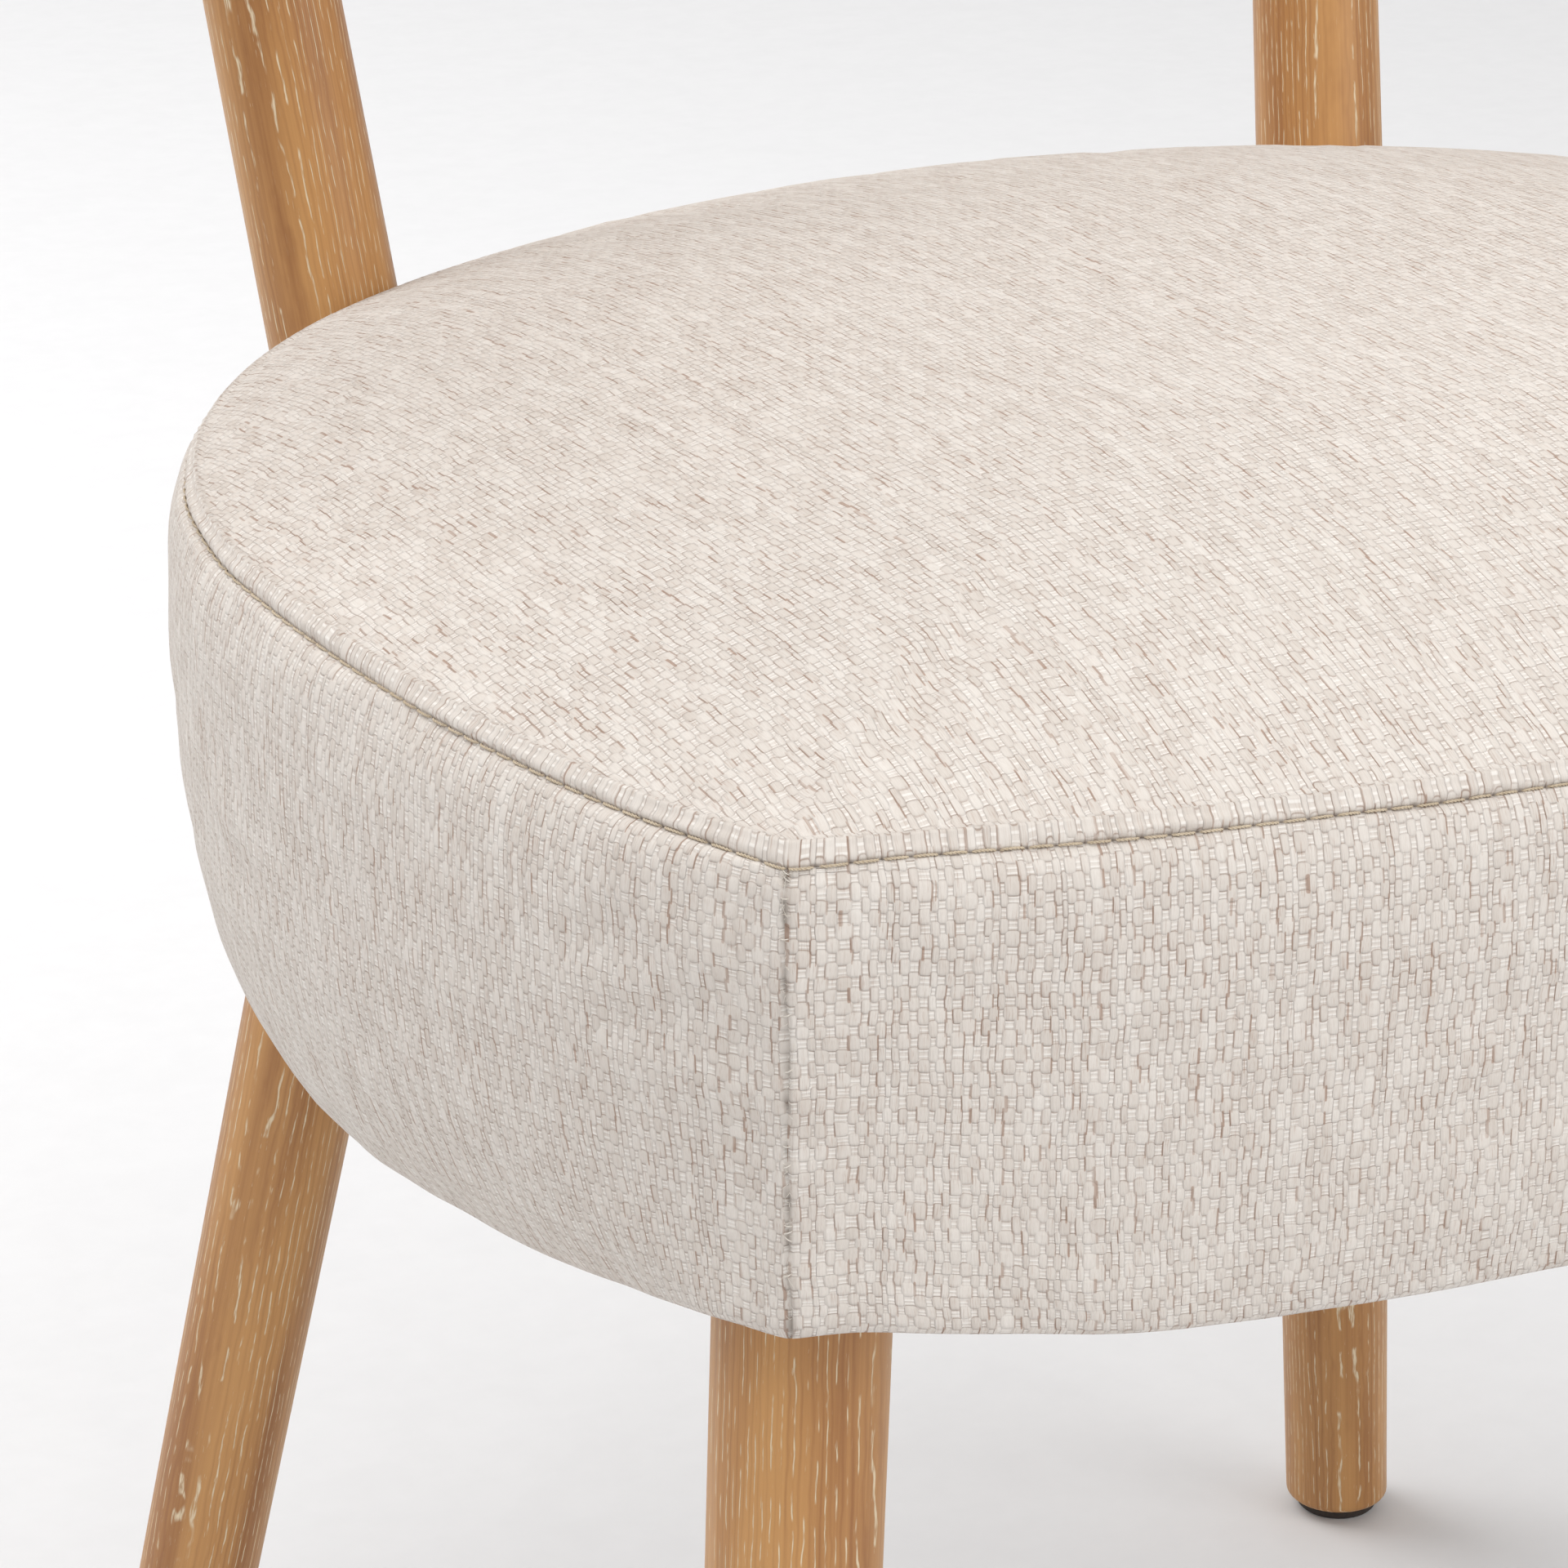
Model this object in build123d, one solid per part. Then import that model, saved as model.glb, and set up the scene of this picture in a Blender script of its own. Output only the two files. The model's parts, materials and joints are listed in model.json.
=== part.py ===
from build123d import *
import os
from math import acos, asin, copysign, cos, exp, hypot, pi, radians, sin, sqrt, tan

os.makedirs("parts", exist_ok=True)

# An upholstered armchair in round oak. Millimetres, +Z up, the floor is z = 0 and x = 0 is the plane
# of symmetry. The sitter faces -Y. Left and right are as seen from the front. While it is drawn, y = 0
# is near the middle of the seat; the last step moves the chair so that its box is centred on x and y.

# Seat outline at the rim, seen from above: a bowed front, two pointed corners, a rounded back.
CORNER_X = 231.7          # front corner, from the middle
CORNER_Y = -186.4
FRONT_BOW = 32.6          # how far the middle of the front stands ahead of its corners
SIDE_ANGLE = radians(63.8)  # heading of the side where it leaves the corner, from +X
SHOULDER_R = 208.0        # then four arcs run tangent to each other, round to the middle of the back
SHOULDER_TURN = radians(15.4)
SIDE_R = 607.0
SIDE_TURN = radians(13.9)
HIP_R = 227.0
HIP_TURN = radians(55.6)

# Seat, from the side
RIM_Z = 466.0             # sewn edge of the top panel
RIM_RISE = 0.007          # rise per millimetre towards the back
CROWN = 29.0              # how far the middle of the top stands over the rim
CROWN_POWER = 3.9
EDGE_Z = 344.0            # lower edge of the boxing, at y = 0
EDGE_FALL = 0.030         # it is higher at the front
BULGE = 10.4              # how far the boxing swells out under the rim
BULGE_EASE = 0.47
TUCK = 12.3               # how far its lower edge pulls in again
TUCK_BACK = 10.1          # more at the back, less at the front
COVER_T = 2.0             # fabric with its lining
HEM = 26.0                # the fabric turns under as far as this from the rim

# Seat frame and deck
PADDING = 12.0            # from the rim to the outside of the rails
RAIL_T = 22.0
RAIL_Z = 356.0            # underside of the rails
RAIL_H = 60.0
DECK_T = 12.0
DECK_VENT_D = 40.0
DECK_VENT_X = 90.0
DECK_VENT_Y = 70.0
FRONT_BLOCK_X = 71.7      # from the corner to the end of the front rail
FRONT_BLOCK_Y = 81.4      # and to the start of the side rails
FRONT_BLOCK_DEPTH = 80.0  # depth of the corner blocks, from the corner
REAR_BLOCK_X = 55.0       # from the knee to the end of the rear rail
REAR_BLOCK_Y = 59.7       # and to the end of the side rails
REAR_BLOCK_DEPTH = 62.0
DUST_COVER_T = 1.0

# Legs
FRONT_LEG_D = 38.0
FRONT_FOOT_D = 36.0
FRONT_LEG_IN = 18.5       # axis in from the corner, at the level of the seat's lower edge
FRONT_LEG_BACK = 29.7
FRONT_LEG_LEVEL = 338.0
FRONT_SPLAY_X = 0.045     # outward and forward, per millimetre down
FRONT_SPLAY_Y = 0.022
KNEE_X = 146.5            # place along the back of the rim where the posts stand
KNEE_PROUD = 0.7          # the knee's distance outside the rim
KNEE_Z = 382.6
KNEE_D = 36.4
REAR_FOOT_D = 32.2
POST_TOP_D = 33.4
REAR_SPLAY_X = 0.156      # lower part, per millimetre down
REAR_SPLAY_Y = 0.159
POST_LEAN_X = 0.079       # upper part, per millimetre up
POST_LEAN_Y = 0.231
KNEE_BEND_R = 150.0
NOTCH_GAP = 1.5           # between a post and the upholstery or frame that it is let into
NOTCH_SLANT = 1.03        # a slanting post is this much wider where a level plane cuts it
NOTCH_UP = 200.0
NOTCH_DOWN = 100.0
FOOT_ROUND = 3.0
GLIDE_D = 25.0
GLIDE_T = 4.0
GLIDE_NAIL_D = 2.6
GLIDE_NAIL_L = 18.0

# Back and arm rail
RAIL_UNDER_Z = 678.0      # underside, level all the way round
CREST_H = 96.0            # section at the middle of the back
CREST_T = 22.0
ARM_H = 26.0              # section along the arms
ARM_T = 54.0
CREST_LEAN = radians(12.0)
BACK_SAG = 32.0           # middle of the back behind the post tops
BEND_R = 125.0            # bend from the back into the arm
ARM_HEADING = radians(86.0)
ARM_RUN = 192.0           # straight length of an arm
TIP_ROUND = 30.0
TWIST_START = 90.0        # the section changes from crest to arm between these distances
TWIST_END = 330.0
JOINT_AFTER_POST = 60.0   # glued joint, measured along the rail from the post
SQUARENESS = 3.0          # exponent of the rail's rounded section

# Joinery
GLUE_GAP = 0.1            # round each glued, driven or threaded piece
BOLT_GAP = 0.5            # round each bolt in its hole
LEG_TENON_D = 26.0
LEG_TENON_L = 38.0
POST_TENON_D = 20.0
POST_TENON_L = 30.0
BOLT_D = 8.0
BOLT_HEAD_D = 14.0
BOLT_HEAD_H = 5.0
HEX_D = 6.0
WASHER_D = 20.0
WASHER_T = 1.6
INSERT_D = 12.0
INSERT_L = 18.0
POST_BOLT_UP = (12.0, 46.0)  # above the underside of the rails
BOLT_SINK = 1.0           # head and washer below the wood's surface
INSERT_IN = 2.0           # mouth of an insert below the wood's surface
INSERT_SPARE = 3.0        # thread left over beyond the bolt
DOWEL_D = 8.0
DOWEL_L = 40.0
DOWEL_UP = (14.0, 44.0)
ARM_DOWEL_D = 9.0
ARM_DOWEL_L = 44.0
ARM_DOWEL_GAP = 20.0
SCREW_D = 4.0
SCREW_HEAD_D = 8.0
SCREW_HEAD_H = 3.0
TENON_SCREW_L = 22.0
TENON_SCREW_UP = 20.0
PLUG_D = 10.0
PLUG_T = 5.0
DECK_SCREW_L = 32.0
FRONT_SCREW_X = (70.0, 188.0)
SIDE_SCREW_Y = (-50.0, 60.0)
BACK_SCREW_X = 45.0
STAPLE_W = 10.0
STAPLE_WIRE = 1.2
STAPLE_L = 8.0
STAPLE_INSET = 31.0
STAPLE_PITCH = 42.0
STAPLE_CLEAR_X = 40.0     # nearest staple to the corner
STAPLE_CLEAR_Y = 50.0

SIDES = {"left": -1, "right": 1}
FAR = 900.0               # longer than anything it has to cut
SEAM_OUT = 60.0           # reach of the plane that parts the front and side boxing at the corner
SEAM_IN = 90.0


# ---------------------------------------------------------------- seat outline

def side_arcs():
    """Centre x and y, radius, first and last heading of each arc from the right corner to the back."""
    arcs, x, y, heading = [], CORNER_X, CORNER_Y, SIDE_ANGLE
    for radius, turn in ((SHOULDER_R, SHOULDER_TURN), (SIDE_R, SIDE_TURN), (HIP_R, HIP_TURN)):
        cx, cy = x - radius * sin(heading), y + radius * cos(heading)
        arcs.append((cx, cy, radius, heading, heading + turn))
        heading += turn
        x, y = cx + radius * sin(heading), cy - radius * cos(heading)
    radius = x / sin(heading)
    arcs.append((0.0, y + radius * cos(heading), radius, heading, pi))
    return arcs


FRONT_R = (CORNER_X**2 + FRONT_BOW**2) / (2 * FRONT_BOW)
FRONT_CENTRE_Y = CORNER_Y - FRONT_BOW + FRONT_R
FRONT_ARC = (0.0, FRONT_CENTRE_Y, FRONT_R, 0.0, asin(CORNER_X / FRONT_R))
SIDE_ARCS = side_arcs()


def sampled(arcs, steps=12):
    """Rows of x, y, outward normal x, y along the arcs."""
    rows = []
    for cx, cy, radius, start, end in arcs:
        for k in range(steps + 1):
            h = start + (end - start) * k / steps
            rows.append((cx + radius * sin(h), cy - radius * cos(h), sin(h), -cos(h)))
    return rows


FRONT_ROWS = sampled([FRONT_ARC], 24)
BACK_ROWS = sampled(SIDE_ARCS)


def corner_headings(offset):
    """Headings on the front arc and on the first side arc where the two, both offset, cross."""
    front_r, side_r = FRONT_R + offset, SHOULDER_R + offset
    cx, cy = SIDE_ARCS[0][0], SIDE_ARCS[0][1] - FRONT_CENTRE_Y
    apart = hypot(cx, cy)
    along = (apart**2 + front_r**2 - side_r**2) / (2 * apart)
    across = sqrt(front_r**2 - along**2)
    x = (along * cx - across * cy) / apart
    y = (along * cy + across * cx) / apart
    return asin(x / front_r), acos(-(y - cy) / side_r)


def outline(offset, z, slope=0.0, shift=0.0, scale=1.0):
    """Closed wire round the seat, offset outside the rim and shifted along Y; its height is z + slope * y."""
    front_end, side_start = corner_headings(offset)

    def place(arc, heading, side):
        cx, cy, radius = arc[:3]
        x = scale * side * (cx + (radius + offset) * sin(heading))
        y = scale * (cy - (radius + offset) * cos(heading) + shift)
        return x, y, z + slope * y

    spans = [(SIDE_ARCS[0], side_start, SIDE_ARCS[0][4])] + [(a, a[3], a[4]) for a in SIDE_ARCS[1:-1]]
    edges = [ThreePointArc(place(FRONT_ARC, front_end, -1), place(FRONT_ARC, 0.0, 1),
                           place(FRONT_ARC, front_end, 1))]
    for arc, start, end in spans:
        edges.append(ThreePointArc(*[place(arc, h, 1) for h in (start, (start + end) / 2, end)]))
    last = SIDE_ARCS[-1]
    edges.append(ThreePointArc(place(last, last[3], 1), place(last, pi, 1), place(last, last[3], -1)))
    for arc, start, end in reversed(spans):
        edges.append(ThreePointArc(*[place(arc, h, -1) for h in (end, (start + end) / 2, start)]))
    return Wire([e.edge() for e in edges])


def boxing_level(s, skin):
    """Wire of the boxing, s = 0 at the rim and 1 at its lower edge, drawn in by skin."""
    swell = BULGE * (1 - exp(-s / 0.07)) * (1 - BULGE_EASE * s)
    z = RIM_Z * (1 - s) + EDGE_Z * s + (skin if s == 1.0 else 0.0)
    slope = RIM_RISE * (1 - s) - EDGE_FALL * s
    return outline(swell - TUCK * s**6 - skin, z, slope, -TUCK_BACK * s**6)


def boxing_solid(skin):
    """The seat from its lower edge up to the rim, drawn in by skin on the outside and below."""
    return Solid.make_loft([boxing_level(s, skin) for s in (1.0, 0.92, 0.8, 0.6, 0.35, 0.15, 0.05, 0.0)],
                           ruled=True)


def crown_solid(skin):
    """The seat above the rim, lowered by skin."""
    wires = [outline(-skin, RIM_Z, RIM_RISE)]
    for share in (0.95, 0.87, 0.75, 0.55, 0.3):
        z = RIM_Z + CROWN * (1 - share**CROWN_POWER) - skin
        wires.append(outline(-skin, z, RIM_RISE, scale=share))
    return Solid.make_loft(wires, ruled=True)


def plate(inset, z, thickness):
    """A flat plate with the seat's outline, drawn in by inset."""
    return extrude(Face(outline(-inset, z)), amount=thickness, dir=(0, 0, 1))


def rim_place(want, axis, rows):
    """The outline's point and normal where coordinate axis (0 is x, 1 is y) reaches want."""
    for a, b in zip(rows, rows[1:]):
        low, high = sorted((a[axis], b[axis]))
        if low <= want <= high and high > low:
            t = (want - a[axis]) / (b[axis] - a[axis])
            return [a[k] + t * (b[k] - a[k]) for k in range(4)]
    raise ValueError("no such place on the outline")


# ---------------------------------------------------------------- small helpers

def slab(z_low, z_high):
    return Pos(0, 0, (z_low + z_high) / 2) * Box(2 * FAR, 2 * FAR, z_high - z_low)


def prism(points, z_low, z_high):
    face = Face(Wire.make_polygon([(x, y, z_low) for x, y in points], close=True))
    return extrude(face, amount=z_high - z_low, dir=(0, 0, 1))


def rod(start, direction, diameter, length):
    return Solid.make_cylinder(diameter / 2, length, Plane(origin=start, z_dir=direction))


def taper(start, end, start_d, end_d):
    a, b = Vector(*start), Vector(*end)
    return Solid.make_cone(start_d / 2, end_d / 2, (b - a).length, Plane(origin=a, z_dir=b - a))


def bolt(seat, direction, length):
    """Socket bolt: its head stands behind seat, its shank runs along direction."""
    back = -Vector(*direction).normalized()
    head = rod(seat, back, BOLT_HEAD_D, BOLT_HEAD_H)
    socket_plane = Plane(origin=Vector(*seat) + back * (BOLT_HEAD_H - 3.0), z_dir=back)
    socket = extrude(socket_plane * RegularPolygon(HEX_D / 2, 6, major_radius=False), amount=4.0)
    return head + rod(seat, direction, BOLT_D, length) - socket


def washer(seat, direction):
    plane = Plane(origin=seat, z_dir=direction)
    ring = Circle(WASHER_D / 2) - Circle(BOLT_D / 2 + GLUE_GAP)
    return extrude(plane * ring, amount=WASHER_T)


def insert(mouth, direction):
    """Threaded insert, from its mouth along direction, bored right through."""
    plane = Plane(origin=mouth, z_dir=direction)
    return extrude(plane * (Circle(INSERT_D / 2) - Circle(BOLT_D / 2 + GLUE_GAP)), amount=INSERT_L)


def wood_screw(head_face, direction, length, gap=0.0):
    """Countersunk screw whose flat head lies at head_face, or its hole when there is a gap round it."""
    head_r, shank_r = SCREW_HEAD_D / 2 + gap, SCREW_D / 2 + gap
    tip = length + gap
    side = [(0, -gap), (head_r, -gap), (head_r, gap), (shank_r, SCREW_HEAD_H),
            (shank_r, tip - SCREW_D), (0, tip)]
    plane = Plane(origin=head_face, z_dir=direction)
    profile = Face(Wire.make_polygon([(r, 0, z) for r, z in side], close=True))
    return plane.location * revolve(profile, Axis.Z)


def mirrored(shape):
    return mirror(shape, about=Plane.YZ)


def both(shape):
    """The right-hand shape with its left-hand copy, by side."""
    return {"right": shape, "left": mirrored(shape)}


# ---------------------------------------------------------------- rear leg and post, right-hand side

_x, _y, NX, NY = rim_place(KNEE_X, 0, BACK_ROWS[::-1])
OUT = Vector(NX, NY, 0).normalized()
KNEE = Vector(_x, _y, KNEE_Z) + OUT * KNEE_PROUD
DOWN = Vector(REAR_SPLAY_X, REAR_SPLAY_Y, -1)
UP = Vector(POST_LEAN_X, POST_LEAN_Y, 1)


def rear_axis(z):
    """The leg's straight axis lines, which cross at the knee."""
    return KNEE + (DOWN * (KNEE_Z - z) if z < KNEE_Z else UP * (z - KNEE_Z))


def rear_leg_body():
    down, up = DOWN.normalized(), UP.normalized()
    half_turn = (pi - acos(down.dot(up))) / 2
    reach = KNEE_BEND_R * tan(half_turn)
    low, high = KNEE + down * reach, KNEE + up * reach
    middle = KNEE + (down + up).normalized() * KNEE_BEND_R * (1 / cos(half_turn) - 1)
    bend = ThreePointArc(low, middle, high)
    knee = sweep(Plane(origin=low, z_dir=-down) * Circle(KNEE_D / 2), path=bend)
    lower = taper(rear_axis(0) + DOWN * REAR_FOOT_D / 2, low, REAR_FOOT_D, KNEE_D)
    upper = taper(high, rear_axis(RAIL_UNDER_Z + POST_TENON_L), KNEE_D, POST_TOP_D)
    leg = lower + knee + upper
    leg -= slab(-FAR, GLIDE_T)
    return round_foot(leg)


def round_foot(leg):
    foot_edges = leg.edges().filter_by(lambda e: e.center().Z < GLIDE_T + 0.5)
    return fillet(foot_edges, FOOT_ROUND)


def post_notch():
    """What the seat leaves free for the post: a slot, open to the outside, along both parts of the leg."""
    middle = Vector(KNEE.X, KNEE.Y, KNEE_Z)
    plane = Plane(origin=middle, x_dir=OUT, z_dir=(0, 0, 1))
    radius = KNEE_D / 2 * NOTCH_SLANT + NOTCH_GAP
    reach = 4 * KNEE_D
    slot = plane * (Circle(radius) + Pos(reach / 2, 0) * Rectangle(reach, 2 * radius))
    above = extrude(slot, amount=NOTCH_UP * UP.length, dir=UP.normalized())
    below = extrude(slot, amount=NOTCH_DOWN * DOWN.length, dir=DOWN.normalized())
    return above + below


# ---------------------------------------------------------------- back and arm rail

POST_TOP = rear_axis(RAIL_UNDER_Z + POST_TENON_L / 2)
BACK_R = (POST_TOP.X**2 + BACK_SAG**2) / (2 * BACK_SAG)
POST_TURN = asin(POST_TOP.X / BACK_R)
POST_STATION = BACK_R * POST_TURN
BEND_END = POST_STATION + BEND_R * (ARM_HEADING - POST_TURN)
JOINT_STATION = POST_STATION + JOINT_AFTER_POST
TIP_STATION = BEND_END + ARM_RUN


def rail_path(s):
    """Place and turning angle at distance s from the middle of the back, on the right."""
    if s <= POST_STATION:
        turn = s / BACK_R
        return BACK_R * sin(turn), POST_TOP.Y + BACK_SAG - BACK_R * (1 - cos(turn)), turn
    bend_x, bend_y = POST_TOP.X - BEND_R * sin(POST_TURN), POST_TOP.Y - BEND_R * cos(POST_TURN)
    turn = min(POST_TURN + (s - POST_STATION) / BEND_R, ARM_HEADING)
    past = max(0.0, s - BEND_END)
    x = bend_x + BEND_R * sin(turn) + past * cos(turn)
    return x, bend_y + BEND_R * cos(turn) - past * sin(turn), turn


def rail_size(s):
    """Height, thickness and lean of the rail's section at distance s from the middle of the back."""
    t = min(1.0, max(0.0, (s - TWIST_START) / (TWIST_END - TWIST_START)))
    blend = t * t * (3 - 2 * t)
    return (CREST_H + (ARM_H - CREST_H) * blend, CREST_T + (ARM_T - CREST_T) * blend,
            CREST_LEAN * (1 - blend))


def rail_frame(s):
    """Centre, outward direction and forward direction of the section; s < 0 is on the left."""
    x, y, turn = rail_path(abs(s))
    height = rail_size(abs(s))[0]
    side = copysign(1.0, s)
    centre = Vector(side * x, y, RAIL_UNDER_Z + height / 2)
    return centre, Vector(side * sin(turn), cos(turn), 0), Vector(cos(turn), -side * sin(turn), 0)


def rail_section(s, shrink=1.0, steps=20):
    """Rounded section of the rail as a closed curve."""
    height, thickness, lean = rail_size(abs(s))
    centre, out, along = rail_frame(s)
    plane = Plane(origin=centre, x_dir=out, z_dir=along)
    points = []
    for k in range(steps):
        a = 2 * pi * (k + 0.5) / steps
        u = shrink * thickness / 2 * copysign(abs(cos(a)) ** (2 / SQUARENESS), cos(a))
        v = shrink * height / 2 * copysign(abs(sin(a)) ** (2 / SQUARENESS), sin(a))
        points.append((u * cos(lean) + v * sin(lean), v * cos(lean) - u * sin(lean)))
    return plane * Wire([Spline(*points, periodic=True).edge()])


def rail_loft(stations):
    return Solid.make_loft([rail_section(s, shrink) for s, shrink in stations])


def crest_body(steps=10):
    return rail_loft([(JOINT_STATION * (2 * k / steps - 1), 1.0) for k in range(steps + 1)])


def arm_body(steps=7):
    start_of_tip = TIP_STATION - TIP_ROUND
    stations = [(JOINT_STATION + (start_of_tip - JOINT_STATION) * k / steps, 1.0) for k in range(steps + 1)]
    for share in (0.35, 0.65, 0.85, 0.96):
        stations.append((start_of_tip + TIP_ROUND * share, sqrt(1 - share**2)))
    return rail_loft(stations)


# ---------------------------------------------------------------- front leg, right-hand side

SPLAY = Vector(FRONT_SPLAY_X, -FRONT_SPLAY_Y, -1)
FRONT_UP = -SPLAY.normalized()


def front_axis(z):
    start = Vector(CORNER_X - FRONT_LEG_IN, CORNER_Y + FRONT_LEG_BACK, FRONT_LEG_LEVEL)
    return start + SPLAY * (FRONT_LEG_LEVEL - z)


def front_leg_body():
    over = RAIL_Z + FRONT_LEG_D / 2
    leg = taper(front_axis(-FRONT_FOOT_D / 2), front_axis(over), FRONT_FOOT_D, FRONT_LEG_D)
    leg -= slab(-FAR, GLIDE_T)
    leg -= slab(RAIL_Z, FAR)
    leg = round_foot(leg)
    return leg + rod(front_axis(RAIL_Z) - FRONT_UP * 2, FRONT_UP, LEG_TENON_D, LEG_TENON_L + 2)


# ---------------------------------------------------------------- seat frame

MITER = Vector(FRONT_ROWS[-1][2] + BACK_ROWS[0][2], FRONT_ROWS[-1][3] + BACK_ROWS[0][3], 0).normalized()
FRAME_TOP = RAIL_Z + RAIL_H
DECK_TOP = FRAME_TOP + DECK_T


def beyond(direction, distance, point):
    """Everything further than distance along direction, measured from point."""
    start = Vector(*point) + Vector(*direction) * distance
    return Plane(origin=start, z_dir=direction).location * Pos(0, 0, FAR / 2) * Box(FAR, FAR, FAR)


def region(x_low, x_high, y_low, y_high):
    return Pos((x_low + x_high) / 2, (y_low + y_high) / 2, RAIL_Z + RAIL_H / 2) * Box(
        x_high - x_low, y_high - y_low, RAIL_H + 4)


def tangent(place):
    """Direction of the outline at a place, anticlockwise seen from above."""
    return Vector(-place[3], place[2], 0)


MID_RAIL = PADDING + RAIL_T / 2
JOINTS = [rim_place(CORNER_X - FRONT_BLOCK_X, 0, FRONT_ROWS),
          rim_place(CORNER_Y + FRONT_BLOCK_Y, 1, BACK_ROWS),
          rim_place(KNEE.Y - REAR_BLOCK_Y, 1, BACK_ROWS),
          rim_place(KNEE.X - REAR_BLOCK_X, 0, BACK_ROWS[::-1])]
AFTER = [beyond(tangent(j), 0, (j[0], j[1], RAIL_Z)) for j in JOINTS]
BEFORE = [beyond(-tangent(j), 0, (j[0], j[1], RAIL_Z)) for j in JOINTS]


def frame_dowels(gap):
    """Two dowels at each joint on the right, one over the other, or their holes when there is a gap."""
    dowels, length = [], DOWEL_L + 4 * gap
    for place in JOINTS:
        along = tangent(place)
        for up in DOWEL_UP:
            middle = Vector(place[0] - MID_RAIL * place[2], place[1] - MID_RAIL * place[3], RAIL_Z + up)
            dowels.append(rod(middle - along * length / 2, along, DOWEL_D + 2 * gap, length))
    return dowels


PARTS = {}


def add_pair(name, right_shape):
    for side, shape in both(right_shape).items():
        PARTS[f"{name}_{side}"] = shape


def add_group(name, right_shapes):
    """Identical small pieces: one node of separate solids, on both sides of the chair."""
    PARTS[name] = [solid for one in right_shapes for side in both(one).values() for solid in side.solids()]


# Legs, bored for their inserts and glide nails
front_leg = front_leg_body()
tenon_top = front_axis(RAIL_Z) + FRONT_UP * LEG_TENON_L
front_leg -= rod(tenon_top, -FRONT_UP, INSERT_D + 2 * GLUE_GAP, INSERT_L + GLUE_GAP)
front_leg -= rod(tenon_top, -FRONT_UP, BOLT_D, INSERT_L + 12)
rear_leg = rear_leg_body()
crest = crest_body()
arm = arm_body()
rear_leg -= crest
up = UP.normalized()
tenon_foot = rear_axis(RAIL_UNDER_Z - 8)
post_tenon = rod(tenon_foot, up, POST_TENON_D, POST_TENON_L + 8 * UP.length)
rear_leg += post_tenon
tenon_bore = rod(tenon_foot, up, POST_TENON_D + 2 * GLUE_GAP, POST_TENON_L + 8 * UP.length + GLUE_GAP)
crest = crest - tenon_bore - mirrored(tenon_bore)

# Bolts from inside the frame into the posts
post_bolts, post_washers, post_inserts, bolt_bores = [], [], [], []
BLOCK_FACE = REAR_BLOCK_DEPTH + KNEE_PROUD
for bolt_up in POST_BOLT_UP:
    axis_point = rear_axis(RAIL_Z + bolt_up)
    seat = axis_point - OUT * (BLOCK_FACE - BOLT_HEAD_H - WASHER_T - BOLT_SINK)
    washer_seat = seat - OUT * WASHER_T
    mouth = axis_point - OUT * (KNEE_D / 2 - INSERT_IN)
    length = (mouth - washer_seat).length + INSERT_L - INSERT_SPARE
    post_bolts.append(bolt(washer_seat, OUT, length))
    post_washers.append(washer(washer_seat, OUT))
    post_inserts.append(insert(mouth, OUT))
    bolt_bores.append(rod(seat - OUT * FAR / 4, OUT, WASHER_D + 1, FAR / 4))
    bolt_bores.append(rod(seat - OUT, OUT, BOLT_D + 2 * BOLT_GAP, (mouth - seat).length + 1))
    rear_leg -= rod(mouth - OUT * 6, OUT, INSERT_D + 2 * GLUE_GAP, INSERT_L + 6 + GLUE_GAP)

# Bolts from the top of the front blocks into the legs
web_seat = front_axis(FRAME_TOP) - FRONT_UP * (BOLT_HEAD_H + WASHER_T + 2 * BOLT_SINK)
washer_top = web_seat + FRONT_UP * WASHER_T
leg_bolt_length = (washer_top - tenon_top).length + INSERT_L - INSERT_SPARE
leg_bolt = bolt(washer_top, -FRONT_UP, leg_bolt_length)
leg_washer = washer(web_seat, FRONT_UP)
leg_bore = rod(front_axis(RAIL_Z) - FRONT_UP * 3, FRONT_UP, LEG_TENON_D + 2 * GLUE_GAP,
               LEG_TENON_L + 3 + GLUE_GAP)
leg_bore += rod(tenon_top - FRONT_UP, FRONT_UP, BOLT_D + 2 * BOLT_GAP, 60)
leg_bore += rod(web_seat, FRONT_UP, WASHER_D + 1, 40)

# Feet
nail_front = rod((front_axis(GLIDE_T).X, front_axis(GLIDE_T).Y, 1.5), (0, 0, 1), GLIDE_NAIL_D, GLIDE_NAIL_L)
nail_rear = rod((rear_axis(GLIDE_T).X, rear_axis(GLIDE_T).Y, 1.5), (0, 0, 1), GLIDE_NAIL_D, GLIDE_NAIL_L)
glides = []
for nail in (nail_front, nail_rear):
    middle = nail.center()
    disc = rod((middle.X, middle.Y, 0), (0, 0, 1), GLIDE_D, GLIDE_T)
    disc = chamfer(disc.edges().group_by(Axis.Z)[0], 0.8)
    hole = rod((middle.X, middle.Y, 1.0), (0, 0, 1), GLIDE_NAIL_D + 2 * GLUE_GAP, GLIDE_NAIL_L + 1)
    glides.append(disc - hole - rod((middle.X, middle.Y, -1), (0, 0, 1), 6.0, 2.5))
    if nail is nail_front:
        front_leg -= hole
    else:
        rear_leg -= hole

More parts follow.
